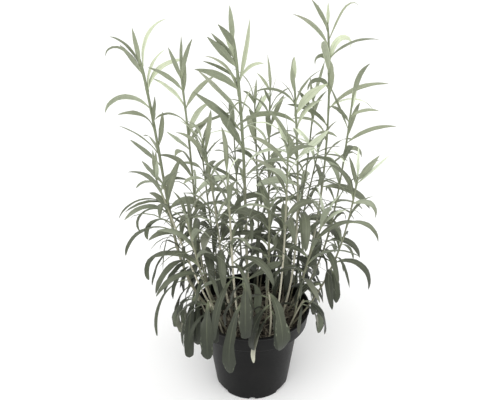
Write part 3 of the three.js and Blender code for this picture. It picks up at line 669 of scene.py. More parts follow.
def tipLeaf(plant, k, draw):
    rise = draw(*young["tipRise"])
    return {
        "at": mix(young["tipFrom"], 1, (k + 1) / young["tipLeaves"]),
        "turn": plant["first"] + young["tipTurn"] + leafRule["golden"] * k,
        "rise": rise, "fall": rise - draw(*young["tipDroop"]),
        "long": draw(*young["tipLong"]), "wide": draw(*young["tipWide"]), "swing": draw(*young["tipSwing"]),
        "roll": draw(*young["tipRoll"]), "full": young["tipFull"], "curl": young["tipCurl"],
    }


def growYoung(crowd):
    leaves = {name: [] for name in plants}

    def settleLeaf(name, plant, leaf):
        crowd.add(pointsOn(plant, leaf, young["room"]), name)
        leaves[name].append(leaf)

    for name, plant in plants.items():
        draw = drawFrom(seedOf(name) + 7)
        if name.startswith("stem") and not plant["set"]:
            for k in range(young["tipLeaves"]):
                leaf = tipLeaf(plant, k, draw)
                if not crowd.touches(pointsOn(plant, leaf, young["room"]), name):
                    settleLeaf(name, plant, leaf)
    for name, plant in plants.items():
        draw = drawFrom(seedOf(name) + 31)
        onStem = name.startswith("stem")
        for k in range(round(plant["leaves"] * young["more"])):
            crowded = {"leaves": plant["leaves"] * young["more"], "first": plant["first"] + young["turn"]}
            if onStem:
                crowded["from"] = max(young["from"], plant.get("from", 0))
            wish = ruledLeaf(name, {**plant, **crowded}, k, draw)
            wish["long"] *= draw(*young["size"])
            wish["wide"] *= draw(*young["width"])
            if onStem and wish["at"] > young["to"]:
                continue
            leaf = firstClear(wish, plant, crowd, name, young["room"])
            if leaf:
                settleLeaf(name, plant, leaf)
    return leaves


youngOf = growYoung(crowd)
print("young leaves placed:", sum(len(leaves) for leaves in youngOf.values()))


def newMaterial(name):
    material = bpy.data.materials.new(name)
    material.use_nodes = True
    tree = material.node_tree
    return material, tree, tree.nodes["Principled BSDF"]


def fromSurface(tree, name):
    return put(tree, "ShaderNodeAttribute", attribute_name=name).outputs["Fac"]


def blended(tree, factor, first, second, kind="MIX"):
    node = put(tree, "ShaderNodeMix", {0: factor, 6: first, 7: second}, data_type="RGBA", blend_type=kind)
    return node.outputs[2]


def noiseOn(tree, vector, scale, detail, roughness=0.55):
    node = put(tree, "ShaderNodeTexNoise", {"Vector": vector, "Scale": scale, "Detail": detail,
               "Roughness": roughness})
    return node.outputs["Fac"]


def objectPlace(tree):
    return put(tree, "ShaderNodeTexCoord").outputs["Object"]


# mottle: blotches that lighten and darken a colour, with a fine grain in height
def makeMottle():
    group, given, out = newGroup(
        "mottle", "ShaderNodeTree",
        [("Color", "Color", (0.5, 0.5, 0.5, 1)), ("Scale", "Float", 200.0), ("Amount", "Float", 0.3)],
        [("Color", "Color"), ("Grain", "Float")],
    )
    place = objectPlace(group)
    blotch = noiseOn(group, place, given["Scale"], 4.0, 0.6)
    fine = noiseOn(group, place, times(group, given["Scale"], 7.0), 3.0, 0.6)
    shift = plus(group, minus(group, blotch, 0.5), times(group, minus(group, fine, 0.5), 0.5))
    gain = timesPlus(group, shift, times(group, given["Amount"], 2.0), 1.0)
    grey = put(group, "ShaderNodeCombineColor", {0: gain, 1: gain, 2: gain}).outputs[0]
    feed(group, out.inputs["Color"], blended(group, 1.0, given["Color"], grey, "MULTIPLY"))
    feed(group, out.inputs["Grain"], fine)
    return group


# dust: a thin pale film that lies on faces that look up, and in blotches
def makeDust():
    group, given, out = newGroup(
        "dust", "ShaderNodeTree",
        [("Color", "Color", (0.5, 0.5, 0.5, 1)), ("Dust Color", "Color", (0.3, 0.27, 0.22, 1)),
         ("Amount", "Float", 0.3), ("Scale", "Float", 60.0)],
        [("Color", "Color"), ("Mask", "Float")],
    )
    normal = put(group, "ShaderNodeNewGeometry").outputs["Normal"]
    upward = put(group, "ShaderNodeSeparateXYZ", {0: normal}).outputs["Z"]
    place = objectPlace(group)
    patches = eased(group, noiseOn(group, place, given["Scale"], 5.0, 0.65), 0.4, 0.75)
    fine = noiseOn(group, place, times(group, given["Scale"], 22.0), 2.0, 0.5)
    specks = eased(group, fine, 0.6, 0.72)
    lying = eased(group, upward, -0.1, 0.9, 0.25, 1.0)
    mask = times(group, times(group, lying, calc(group, "MAXIMUM", patches, specks)), given["Amount"])
    feed(group, out.inputs["Color"], blended(group, mask, given["Color"], given["Dust Color"]))
    feed(group, out.inputs["Mask"], mask)
    return group


mottleGroup = makeMottle()
dustGroup = makeDust()


def placed(tree, group, inputs):
    node = put(tree, "ShaderNodeGroup", node_tree=group)
    for key, value in inputs.items():
        feed(tree, node.inputs[key], value)
    return node.outputs


# flecks: how fine they are, and how strong
def fleckedWith(tree, colour, flecks):
    return placed(tree, mottleGroup, {"Color": colour, "Scale": flecks[0], "Amount": flecks[1]})


# what every finish has. rough: gain and base. relief: strength, and depth in mm
def finish(tree, shader, look, colour, roughness, height):
    feed(tree, shader.inputs["Base Color"], colour)
    feed(tree, shader.inputs["Roughness"], roughness)
    strength, depth = look["relief"]
    bump = put(tree, "ShaderNodeBump", {"Height": height, "Strength": strength, "Distance": depth * mm})
    feed(tree, shader.inputs["Normal"], bump.outputs["Normal"])
    feed(tree, shader.inputs["Specular IOR Level"], look["shine"])


# low: the green near the pot, darkened by painted shade and by the darker green of older leaves
# under: the undersides' own duller green, with painted shade that makes them darker than the tops high up
leafLook = {
    "low": (0.024, 0.029, 0.018, 1), "high": (0.44, 0.48, 0.335, 1), "undersideAndShade": (0.24, 0.27, 0.19, 1),
    "rib": (0.36, 0.40, 0.25, 1), "faded": (0.52, 0.52, 0.41, 1), "streaks": 0.5, "streakScale": 2.2,
    "veinLean": 5.0, "veinRows": 34.0, "veinDepth": 0.10, "longVeinDepth": 0.25, "grainDepth": 0.35,
    "flecks": (210.0, 0.16), "rough": (0.25, 0.42), "relief": (0.55, 0.25), "shine": 0.35,
    "sheen": (0.08, 0.5),
}


# a leaf's surface: lane runs across it, share along it, face tells top from under
def makeLeafMaterial():
    material, tree, shader = newMaterial("tarragonLeaf")
    lane, share, face = (fromSurface(tree, name) for name in ("lane", "share", "face"))
    tint, tone, age = (fromSurface(tree, name) for name in ("tint", "tone", "age"))
    side = calc(tree, "ABSOLUTE", lane)
    # dark near the pot and pale above: painted shade low down, with the darker green of older leaves
    green = blended(tree, tone, leafLook["low"], leafLook["high"])
    # each leaf has its own tint, and the palest stand half way up, where a painted highlight lifts the
    # palest tints and turns them a little cooler
    middle = times(tree, eased(tree, tone, 0.2, 0.5), eased(tree, tone, 0.6, 1.0, 1.0, 0.1))
    paleAndHighlit = times(tree, eased(tree, tint, 0.55, 1.0, 0.0, 1.5), middle)
    lift = plus(tree, timesPlus(tree, tint, 0.55, 0.57), paleAndHighlit)
    # streaks along the blade, lighter and darker: painted shading along its length
    alongBlade = put(tree, "ShaderNodeCombineXYZ", {
        0: times(tree, lane, 4.0), 1: share, 2: times(tree, tint, 60.0)}).outputs[0]
    streak = minus(tree, noiseOn(tree, alongBlade, leafLook["streakScale"], 3.0, 0.6), 0.5)
    lift = times(tree, lift, timesPlus(tree, streak, 2 * leafLook["streaks"], 1.0))
    cooler = timesPlus(tree, paleAndHighlit, 0.22, times(tree, lift, 0.97))
    lifted = put(tree, "ShaderNodeCombineColor", {0: lift, 1: lift, 2: cooler})
    green = blended(tree, 1.0, green, lifted.outputs[0], "MULTIPLY")
    # undersides: their own duller green, and painted shade that makes them darker than the tops high up
    below = eased(tree, face, -0.1, -0.5, 0.0, 0.55)
    green = blended(tree, below, green, leafLook["undersideAndShade"])
    ribMask = times(tree, eased(tree, side, 0.16, 0.03), eased(tree, share, 1.0, 0.2, 0.0, 0.5))
    ribMask = times(tree, ribMask, eased(tree, tone, 0.0, 0.6, 0.3, 1.0))
    green = blended(tree, ribMask, green, leafLook["rib"])
    stalkMask = eased(tree, share, 0.22, 0.04, 0.0, 0.5)
    green = blended(tree, stalkMask, green, leafLook["rib"])
    # fading starts at the tip and the edges
    outward = plus(tree, share, times(tree, side, 0.15))
    fading = times(tree, eased(tree, outward, 0.35, 1.0), age)
    green = blended(tree, fading, green, leafLook["faded"])
    flecked = fleckedWith(tree, green, leafLook["flecks"])
    # one groove along the midrib, side veins that run forward, and a fine grain
    groove = times(tree, eased(tree, side, 0.0, 0.1), calc(tree, "SIGN", face))
    along = timesPlus(tree, share, leafLook["veinRows"], times(tree, side, -leafLook["veinLean"]))
    veins = times(tree, calc(tree, "SINE", times(tree, along, 3.0)), leafLook["veinDepth"])
    beside = calc(tree, "ABSOLUTE", minus(tree, side, 0.5))
    longVein = times(tree, eased(tree, beside, 0.0, 0.08), leafLook["longVeinDepth"])
    grain = times(tree, flecked["Grain"], leafLook["grainDepth"])
    height = plus(tree, plus(tree, groove, veins), plus(tree, longVein, grain))
    roughness = timesPlus(tree, flecked["Grain"], *leafLook["rough"])
    finish(tree, shader, leafLook, flecked["Color"], roughness, height)
    feed(tree, shader.inputs["Sheen Weight"], leafLook["sheen"][0])
    feed(tree, shader.inputs["Sheen Roughness"], leafLook["sheen"][1])
    return material


stemLook = {
    "low": (0.2, 0.19, 0.13, 1), "high": (0.22, 0.25, 0.16, 1), "strawAndLight": (0.62, 0.59, 0.46, 1), "ribs": 9.0,
    "grainDepth": 0.6, "flecks": (160.0, 0.22), "rough": (0.2, 0.5), "relief": (0.4, 0.12), "shine": 0.35,
}


# a stem: green above, and brown or straw at the foot, with fine ribs along it. The straw is a dry colour,
# and painted light on the stems at the front.
def makeStemMaterial():
    material, tree, shader = newMaterial("tarragonStem")
    lane, face, tone, tint = (fromSurface(tree, name) for name in ("lane", "face", "tone", "tint"))
    bare = times(tree, eased(tree, tint, 0.35, 0.95), eased(tree, tone, 0.85, 0.35))
    colour = blended(tree, tone, stemLook["low"], stemLook["high"])
    colour = blended(tree, bare, colour, stemLook["strawAndLight"])
    flecked = fleckedWith(tree, colour, stemLook["flecks"])
    ribs = calc(tree, "SINE", times(tree, calc(tree, "ARCTAN2", face, lane), stemLook["ribs"]))
    height = timesPlus(tree, flecked["Grain"], stemLook["grainDepth"], ribs)
    roughness = timesPlus(tree, flecked["Grain"], *stemLook["rough"])
    finish(tree, shader, stemLook, flecked["Color"], roughness, height)
    return material


potLook = {
    "plastic": (0.004, 0.0041, 0.0043, 1), "dust": (0.19, 0.17, 0.14, 1), "dustAmount": 0.07,
    "dustScale": 38.0, "dustRough": 1.2, "ringPitch": 1.1, "ringDepth": 0.12, "grainDepth": 0.5,
    "scuffDepth": 0.4, "scuffScale": 900.0, "scuffLean": (1.0, 1.0, 0.12),
    "flecks": (45.0, 0.2), "rough": (0.16, 0.34), "relief": (0.35, 0.15), "shine": 0.13,
}


# recycled black plastic: satin, faintly ringed by the mould, with dust and scuffs
def makePotMaterial():
    material, tree, shader = newMaterial("potPlastic")
    place = objectPlace(tree)
    flecked = fleckedWith(tree, potLook["plastic"], potLook["flecks"])
    dusty = placed(tree, dustGroup, {"Color": flecked["Color"], "Dust Color": potLook["dust"],
                                     "Amount": potLook["dustAmount"], "Scale": potLook["dustScale"]})
    plain = timesPlus(tree, flecked["Grain"], *potLook["rough"])
    roughness = timesPlus(tree, dusty["Mask"], potLook["dustRough"], plain)
    z = put(tree, "ShaderNodeSeparateXYZ", {0: place}).outputs["Z"]
    rings = calc(tree, "SINE", times(tree, z, 2 * math.pi / (potLook["ringPitch"] * mm)))
    leaning = put(tree, "ShaderNodeVectorMath", {0: place, 1: potLook["scuffLean"]}, operation="MULTIPLY")
    scuffs = noiseOn(tree, leaning.outputs[0], potLook["scuffScale"], 2.0)
    grain = times(tree, flecked["Grain"], potLook["grainDepth"])
    fine = plus(tree, grain, times(tree, scuffs, potLook["scuffDepth"]))
    height = plus(tree, times(tree, rings, potLook["ringDepth"]), fine)
    finish(tree, shader, potLook, dusty["Color"], roughness, height)
    return material


soilLook = {
    "inHollows": (0.02, 0.0165, 0.013, 1), "onCrumbs": (0.068, 0.058, 0.045, 1), "clodScale": 140.0, "grainDepth": 0.6,
    "flecks": (420.0, 0.6), "rough": (0.2, 0.8), "relief": (0.9, 0.8), "shine": 0.2,
}


# dark peat: darker in the hollows and paler on the crumbs
def makeSoilMaterial():
    material, tree, shader = newMaterial("pottingSoil")
    clods = noiseOn(tree, objectPlace(tree), soilLook["clodScale"], 6.0, 0.7)
    colour = blended(tree, eased(tree, clods, 0.38, 0.68), soilLook["inHollows"], soilLook["onCrumbs"])
    flecked = fleckedWith(tree, colour, soilLook["flecks"])
    height = plus(tree, clods, times(tree, flecked["Grain"], soilLook["grainDepth"]))
    finish(tree, shader, soilLook, flecked["Color"], timesPlus(tree, clods, *soilLook["rough"]), height)
    return material


litterLook = {
    "pale": (0.27, 0.245, 0.19, 1), "brown": (0.075, 0.062, 0.047, 1),
    "flecks": (300.0, 0.45), "rough": (0.2, 0.7), "relief": (0.6, 0.3), "shine": 0.2,
}


# dead roots, bark and shed leaves: straw to brown, dull
def makeLitterMaterial():
    material, tree, shader = newMaterial("dryLitter")
    colour = blended(tree, fromSurface(tree, "tint"), litterLook["brown"], litterLook["pale"])
    flecked = fleckedWith(tree, colour, litterLook["flecks"])
    roughness = timesPlus(tree, flecked["Grain"], *litterLook["rough"])
    finish(tree, shader, litterLook, flecked["Color"], roughness, flecked["Grain"])
    return material


leafMaterial = makeLeafMaterial()
stemMaterial = makeStemMaterial()
potMaterial = makePotMaterial()
soilMaterial = makeSoilMaterial()
litterMaterial = makeLitterMaterial()
print("materials made")


potShape = {
    "sides": 144, "cornerRadius": 1.0, "cornerSteps": 4, "cutterSides": 12, "drainSides": 24,
    "rings": [5, 7, 12, 24, 48], "sliver": 0.01, "bevel": 0.25, "bevelAngle": 50, "sharpAngle": 45,
}


# a profile with its corners rounded off
def softened(profile, radius, steps):
    soft = [profile[0]]
    for before, corner, after in zip(profile, profile[1:], profile[2:]):
        arms = []
        for other in (before, after):
            away = math.dist(corner, other)
            arms.append([mix(corner[axis], other[axis], min(radius, away * 0.45) / away) for axis in (0, 1)])
        for k in range(steps + 1):
            t = k / steps
            pulls = ((1 - t) ** 2, arms[0]), (2 * t * (1 - t), corner), (t * t, arms[1])
            soft.append([sum(pull * point[axis] for pull, point in pulls) for axis in (0, 1)])
    return soft + [profile[-1]]


# a profile of [radius, height] that starts and ends on the axis, turned round it
def turned(profile, sides):
    points = [[0, 0, profile[0][1]], [0, 0, profile[-1][1]]]
    faces = []
    rows = profile[1:-1]
    for radius, height in rows:
        points += [[x, y, height] for x, y in circlePoints(sides, radius)]
    last = 2 + (len(rows) - 1) * sides
    for k in range(sides):
        after = (k + 1) % sides
        faces.append([0, 2 + after, 2 + k])
        faces.append([1, last + k, last + after])
        for row in range(len(rows) - 1):
            start = 2 + row * sides
            faces.append([start + k, start + after, start + sides + after, start + sides + k])
    return points, faces


# a mesh after a repair
def mended(mesh, mend):
    shape = bmesh.new()
    shape.from_mesh(mesh)
    mend(shape)
    shape.to_mesh(mesh)
    shape.free()
    return mesh


def facingOut(mesh):
    return mended(mesh, lambda shape: bmesh.ops.recalc_face_normals(shape, faces=shape.faces[:]))


# joins the corners that a cut leaves almost in one place
def withoutSlivers(mesh):
    def join(shape):
        bmesh.ops.remove_doubles(shape, verts=shape.verts[:], dist=potShape["sliver"] * mm)
        bmesh.ops.dissolve_degenerate(shape, edges=shape.edges[:], dist=potShape["sliver"] * mm)

    return mended(mesh, join)


def potWallRadius(z):
    return mix(pot["footRadius"], pot["wallTopRadius"], z / (pot["height"] - pot["collarHeight"]))


def makePotShell():
    height, thickness, edge = pot["height"], pot["thickness"], pot["edge"]
    foot, ring, lift = pot["footRadius"], pot["footRing"], pot["floorLift"]
    collarFoot = height - pot["collarHeight"]
    lipFoot = height - pot["lipHeight"]
    wallTop = collarFoot - 2 * edge
    rings = [[mix(foot, pot["wallTopRadius"], z / wallTop), z] for z in potShape["rings"]]
    profile = [
        [0, lift - thickness], [foot - ring, lift - thickness], [foot - ring + edge, 0], [foot, 0], *rings,
        [pot["wallTopRadius"], wallTop], [pot["collarFootRadius"], collarFoot],
        [pot["rimRadius"], lipFoot], [pot["lipRadius"], lipFoot + edge], [pot["lipRadius"], height],
        [pot["rimRadius"] - thickness - edge, height],
        [pot["collarFootRadius"] - thickness, collarFoot + thickness + edge],
        [pot["wallTopRadius"] - thickness, collarFoot], [potWallRadius(lift) - thickness, lift], [0, lift],
    ]
    profile = softened(profile, potShape["cornerRadius"], potShape["cornerSteps"])
    points, faces = turned(profile, potShape["sides"])
    return facingOut(meshFrom("potShell", points, [], faces, {}))


# a solid between an outline laid out low and the same outline laid out high
def prism(outline, low, high):
    count = len(outline)
    points = [low(point) for point in outline] + [high(point) for point in outline]
    faces = [list(range(count))[::-1], list(range(count, 2 * count))]
    faces += [[k, (k + 1) % count, count + (k + 1) % count, count + k] for k in range(count)]
    return points, faces


# copies of a solid, turned round the pot's axis
def spun(solid, angles):
    points, faces = solid
    for angle in angles:
        along, across = math.cos(radians(angle)), math.sin(radians(angle))
        yield [[x * along - y * across, x * across + y * along, z] for x, y, z in points], faces


# cutters for the wide notches, the small arched ones and the drain holes
def makeNotchCutters():
    outer = pot["footRadius"] + notches["past"]
    inner = pot["footRadius"] - pot["footRing"] - notches["past"]
    half, sides = notches["wideArc"] / 2, potShape["cutterSides"]
    arc = [(outer, mix(-half, half, k / sides)) for k in range(sides + 1)]
    arc += [(inner, mix(half, -half, k / sides)) for k in range(sides + 1)]

    def wideAt(height, lean):
        def place(point):
            radius, angle = point[0], radians(point[1] * lean)
            return [radius * math.cos(angle), radius * math.sin(angle), height]

        return place

    wide = prism(arc, wideAt(-1, 1), wideAt(notches["wideHeight"], notches["roofShare"]))
    width, height = notches["smallWidth"] / 2, notches["smallHeight"]
    arch = [(-width, -1), (width, -1)]
    for k in range(sides + 1):
        arch.append((width * math.cos(math.pi * k / sides), height * math.sin(math.pi * k / sides)))
    small = prism(arch, lambda point: [inner, *point], lambda point: [outer, *point])
    hole = circlePoints(potShape["drainSides"], notches["drainRadius"])
    hole = [(notches["drainAt"] + x, y) for x, y in hole]
    drain = prism(hole, lambda point: [*point, 0], lambda point: [*point, 2 * pot["floorLift"]])
    points, faces = [], []
    for solid, angles in ((wide, "wideAngles"), (small, "smallAngles"), (drain, "wideAngles")):
        for solidPoints, solidFaces in spun(solid, notches[angles]):
            faces += [[len(points) + k for k in face] for face in solidFaces]
            points += solidPoints
    return facingOut(meshFrom("notchCutters", points, [], faces, {}))


def makePot():
    thing = addObject("potShell", makePotShell())
    cutters = addObject("notchCutters", makeNotchCutters())
    cut = thing.modifiers.new("notches", "BOOLEAN")
    cut.object, cut.operation, cut.solver = cutters, "DIFFERENCE", "EXACT"
    edges = thing.modifiers.new("edges", "BEVEL")
    edges.width, edges.segments = potShape["bevel"] * mm, 2
    edges.limit_method, edges.angle_limit = "ANGLE", radians(potShape["bevelAngle"])
    settle(thing)
    bpy.data.objects.remove(cutters)
    withoutSlivers(thing.data)
    thing.data.shade_smooth()
    thing.data.set_sharp_from_angle(angle=radians(potShape["sharpAngle"]))
    thing.data.materials.clear()
    thing.data.materials.append(potMaterial)
    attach(thing, "root")
    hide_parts("pot")
    return thing


makePot()
print("pot made")


ground = {
    "rings": 56, "spokes": 150, "clods": 1.0, "clodScale": 0.16, "crumbs": 2600, "crumbSize": (0.5, 1.9),
    "crumbMargin": 3.0, "seed": 11,
}


def soilHeight(x, y):
    mounds = math.sin(x * 0.21 + 1.3) * math.cos(y * 0.19 - 0.4) + 0.6 * math.sin(x * 0.43 - y * 0.37)
    return soil["top"] + soil["roughness"] * mounds


def clodHeight(x, y):
    coarse = noise.fractal(Vector((x * ground["clodScale"], y * ground["clodScale"], 3.7)), 1.0, 2.1, 5)
    return soilHeight(x, y) + ground["clods"] * coarse


def makeGround():
    collarFoot = pot["height"] - pot["collarHeight"]
    skin = pot["thickness"] + soil["clearance"]
    bottom = pot["floorLift"] + soil["clearance"]
    edge = pot["collarFootRadius"] - skin
    profile = [[0, bottom], [potWallRadius(bottom) - skin, bottom],
               [pot["wallTopRadius"] - skin, collarFoot + soil["clearance"]],
               [edge, collarFoot + pot["thickness"] + pot["edge"] + 2 * soil["clearance"]]]
    lower = len(profile)
    profile += [[edge * (1 - k / ground["rings"]), soil["top"]] for k in range(ground["rings"] + 1)]
    points, faces = turned(profile, ground["spokes"])
    top = 2 + (lower - 1) * ground["spokes"]
    for k, point in enumerate(points):
        if k == 1 or k >= top:
            point[2] = clodHeight(point[0], point[1])
    inward = [max(0, k - top) / ground["spokes"] for k in range(len(points))]
    inward[1] = ground["rings"]
    return facingOut(meshFrom("soilBody", points, [], faces, {"inward": inward}))


# stores a number on each point under a name
def keep(tree, geometry, name, value):
    node = put(tree, "GeometryNodeStoreNamedAttribute", {"Geometry": geometry, "Name": name, "Value": value},
               data_type="FLOAT", domain="POINT")
    return node.outputs[0]


# crumbs lie on the surface, each a lump of its own shape
def makeCrumbTree():
    tree, given, out = newGeometryTree("crumbs", [
        ("Count", "Float", 1.0), ("Smallest", "Float", 0.0005), ("Largest", "Float", 0.002),
        ("Seed", "Int", 1), ("Flatness", "Float", 0.7), ("Detail", "Int", 1), ("Margin", "Float", 3.0),
        ("Lumpiness", "Float", 1.3), ("Material", "Material", None)])
    spread = put(tree, "GeometryNodeDistributePointsOnFaces", {
        "Mesh": given["Geometry"], "Density": given["Count"], "Seed": given["Seed"],
        "Selection": calc(tree, "GREATER_THAN", named(tree, "inward"), given["Margin"])})
    lump = put(tree, "GeometryNodeMeshIcoSphere", {"Radius": 1.0, "Subdivisions": given["Detail"]})
    size = put(tree, "FunctionNodeRandomValue", {2: given["Smallest"], 3: given["Largest"], "Seed": 3},
               data_type="FLOAT")
    small = calc(tree, "POWER", calc(tree, "DIVIDE", size.outputs[1], given["Largest"]), 2.2)
    grown = calc(tree, "MAXIMUM", times(tree, small, given["Largest"]), given["Smallest"])
    turn = put(tree, "FunctionNodeRandomValue", {0: (0, 0, 0), 1: (6.3, 6.3, 6.3), "Seed": 5},
               data_type="FLOAT_VECTOR")
    shape = put(tree, "ShaderNodeCombineXYZ", {
        0: grown, 1: times(tree, grown, 0.8), 2: times(tree, grown, given["Flatness"])})
    copies = put(tree, "GeometryNodeInstanceOnPoints", {
        "Points": keep(tree, spread.outputs["Points"], "lumpSize", grown), "Instance": lump.outputs["Mesh"],
        "Scale": shape.outputs[0],
        "Rotation": put(tree, "FunctionNodeEulerToRotation", {0: turn.outputs[0]}).outputs[0]})
    real = put(tree, "GeometryNodeRealizeInstances", {"Geometry": copies.outputs[0]})
    place = put(tree, "GeometryNodeInputPosition").outputs[0]
    lumps = put(tree, "ShaderNodeTexNoise", {"Vector": place, "Scale": 700.0, "Detail": 1.0})
    push = put(tree, "ShaderNodeVectorMath", {0: lumps.outputs["Color"], 1: (0.5, 0.5, 0.5)},
               operation="SUBTRACT")
    away = scaled(tree, push.outputs[0], times(tree, named(tree, "lumpSize"), given["Lumpiness"]))
    moved = put(tree, "GeometryNodeSetPosition", {"Geometry": real.outputs[0], "Offset": away})
    clean = put(tree, "GeometryNodeRemoveAttribute", {"Geometry": moved.outputs[0], "Name": "lumpSize"})
    flat = put(tree, "GeometryNodeSetShadeSmooth", {0: clean.outputs[0], "Shade Smooth": False})
    return endTree(tree, out, flat.outputs[0], given["Material"])


soilArea = math.pi * (pot["collarFootRadius"] * mm) ** 2


# a crumb tree's inputs for so many lumps of a size, kept a margin of rings from the soil's edge
def crumbInputs(count, size, margin, seed, material):
    return {"Count": count / soilArea, "Smallest": size[0] * mm, "Largest": size[1] * mm,
            "Detail": 1, "Margin": margin, "Seed": seed, "Material": material}


def makeSoil():
    mesh = makeGround()
    crumbs = addObject("soilCrumbs", mesh.copy())
    grow(crumbs, makeCrumbTree(), crumbInputs(
        ground["crumbs"], ground["crumbSize"], ground["crumbMargin"], ground["seed"], soilMaterial))
    body = addObject("soilBody", mesh)
    body.data.materials.append(soilMaterial)
    body.data.shade_smooth()
    for thing in (body, crumbs):
        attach(thing, "root")
    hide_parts("soil")
    print("soil made, faces of crumbs:", len(crumbs.data.polygons))


makeSoil()


# lengths in mm. limp changes firm for the shoots, and young changes either.
# dark, pale: the height where leaves begin to get paler, and how far above it they stop. The darkness below
# is painted shade, with the darker green of older leaves.
# faded: the one leaf that is dry all over, by its plant and its place among the leaves
bladeShape = {
    "firm": {"thickness": 0.34, "stalk": 1.0, "fold": 0.26, "roll": 0.2, "wave": 0.09, "waves": 2.6,
             "midrib": 0.35, "raggedness": 0.22},
    "limp": {"fold": 0.42, "roll": 0.12, "wave": 0.24, "waves": 1.7, "raggedness": 0.5},
    "young": {"thickness": 0.26, "stalk": 0.6, "midrib": 0.12},
    "shares": [0, 0.05, 0.12, 0.2, 0.29, 0.38, 0.47, 0.56, 0.65, 0.74, 0.82, 0.89, 0.945, 0.98, 1],
    "youngShares": [0, 0.12, 0.3, 0.5, 0.7, 0.88, 1],
    "pointsRound": 8, "youngPointsRound": 6, "ribSteps": 96, "narrowest": 0.02,
    "dark": 92, "pale": 243, "climb": 1.5, "topFrom": 290, "topReach": 60, "topDark": 0.12,
    "ageMost": 0.7, "ageRarity": 20, "faded": {"shoot_04": 3},
}
for name, place in bladeShape["faded"].items():
    leavesOf[name][place]["age"] = 1


# leaves are dark near the pot, pale above, and a little darker again at the top. The dark near the pot is
# painted shade, with the darker green of older leaves.
def shadeAndAgeByHeight(z):
    climb = clamp((z - bladeShape["dark"]) / bladeShape["pale"]) ** bladeShape["climb"]
    return climb * (1 - bladeShape["topDark"] * clamp((z - bladeShape["topFrom"]) / bladeShape["topReach"]))


# midribs as lines of points that carry the blade's measures, from pairs of plant and leaf
def ribLines(name, pairs, shares, seed):
    draw = drawFrom(seedOf(name) + seed)
    lines = Lines()
    for plant, leaf in pairs:
        rib = midribOf(plant, leaf, bladeShape["ribSteps"])
        tint, phase = draw(0, 1), draw(0, 6.28)
        age = max(bladeShape["ageMost"] * draw(0, 1) ** bladeShape["ageRarity"], leaf.get("age", 0))
        for k, share in enumerate(shares):
            spot = rib[round(share * bladeShape["ribSteps"])]
            half = max(halfWidth(leaf, share), bladeShape["narrowest"]) * mm
            across, up = bladeSides(leaf, share)
            lines.add(spot, k > 0, share=share, half=half, phase=phase, tint=tint, tone=shadeAndAgeByHeight(spot[2]),
                      age=age, across=across, up=up, rib=[value * mm for value in spot])
    return lines.mesh(name)


# the section's outline: lane runs across, face is 1 above and -1 below
def sectionRing(tree, count):
    ring = put(tree, "GeometryNodeCurvePrimitiveCircle", {"Resolution": count, "Radius": 1.0}, mode="RADIUS")
    spot = put(tree, "ShaderNodeSeparateXYZ", {0: put(tree, "GeometryNodeInputPosition").outputs[0]})
    ring = keep(tree, ring.outputs["Curve"], "lane", spot.outputs["X"])
    return keep(tree, ring, "face", spot.outputs["Y"])


# blades along their midribs: folded a little, with rolled and wavy edges
def makeBladeTree():
    tree, given, out = newGeometryTree("leafBlades", [
        ("Points Round", "Int", 8), ("Thickness", "Float", 0.00034), ("Stalk Thickness", "Float", 0.001),
        ("Fold", "Float", 0.25), ("Edge Roll", "Float", 0.2), ("Wave", "Float", 0.08),
        ("Waves", "Float", 2.5), ("Midrib", "Float", 0.00035), ("Raggedness", "Float", 0.08),
        ("Material", "Material", None)])
    lines = put(tree, "GeometryNodeMeshToCurve", {"Mesh": given["Geometry"]})
    body = put(tree, "GeometryNodeCurveToMesh", {"Curve": lines.outputs[0],
               "Profile Curve": sectionRing(tree, given["Points Round"]), "Fill Caps": True})
    lane, face, share = (named(tree, name) for name in ("lane", "face", "share"))
    half, phase = (named(tree, name) for name in ("half", "phase"))
    across, up, rib = (named(tree, name, "FLOAT_VECTOR") for name in ("across", "up", "rib"))
    side = calc(tree, "ABSOLUTE", lane)
    thick = times(tree, eased(tree, share, 0.0, 0.24, given["Stalk Thickness"], given["Thickness"]),
                  eased(tree, share, 0.85, 1.0, 0.5, 0.1))
    level = times(tree, face, thick)
    fold = times(tree, times(tree, side, given["Fold"]), eased(tree, share, 0.0, 0.85, 1.0, 0.3))
    roll = times(tree, calc(tree, "POWER", side, 3.0), given["Edge Roll"])
    turn = plus(tree, times(tree, share, times(tree, given["Waves"], 6.283)), plus(tree, phase, lane))
    wave = times(tree, times(tree, calc(tree, "SINE", turn), times(tree, side, side)), given["Wave"])
    bent = times(tree, plus(tree, minus(tree, fold, roll), wave), half)
    below = calc(tree, "POWER", calc(tree, "MAXIMUM", times(tree, face, -1.0), 0.0), 4.0)
    keel = times(tree, below, times(tree, given["Midrib"], eased(tree, share, 0.1, 1.0, 1.0, 0.0)))
    height = minus(tree, plus(tree, level, bent), keel)
    # each edge wanders in and out on its own
    edgeSpot = put(tree, "ShaderNodeCombineXYZ", {0: times(tree, share, 6.0), 1: lane, 2: phase})
    wander = put(tree, "ShaderNodeTexNoise", {"Vector": edgeSpot.outputs[0], "Scale": 1.3, "Detail": 1.0})
    ragged = times(tree, minus(tree, wander.outputs[0], 0.5), given["Raggedness"])
    reach = times(tree, timesPlus(tree, ragged, 2.0, 1.0), lane)
    sideways = scaled(tree, across, times(tree, half, reach))
    spot = summed(tree, rib, summed(tree, sideways, scaled(tree, up, height)))
    shaped = put(tree, "GeometryNodeSetPosition", {"Geometry": body.outputs[0], "Position": spot}).outputs[0]
    for name in ("half", "phase", "across", "up", "rib"):
        shaped = put(tree, "GeometryNodeRemoveAttribute", {"Geometry": shaped, "Name": name}).outputs[0]
    closed = put(tree, "GeometryNodeMergeByDistance", {"Geometry": shaped, "Distance": 0.00001})
    smooth = put(tree, "GeometryNodeSetShadeSmooth", {0: closed.outputs[0], "Shade Smooth": True},
                 domain="FACE")
    onRim = calc(tree, "GREATER_THAN", side, 0.99)
    rim = put(tree, "GeometryNodeSetShadeSmooth", {
        0: smooth.outputs[0], "Selection": onRim, "Shade Smooth": False}, domain="EDGE")
    return endTree(tree, out, rim.outputs[0], given["Material"])


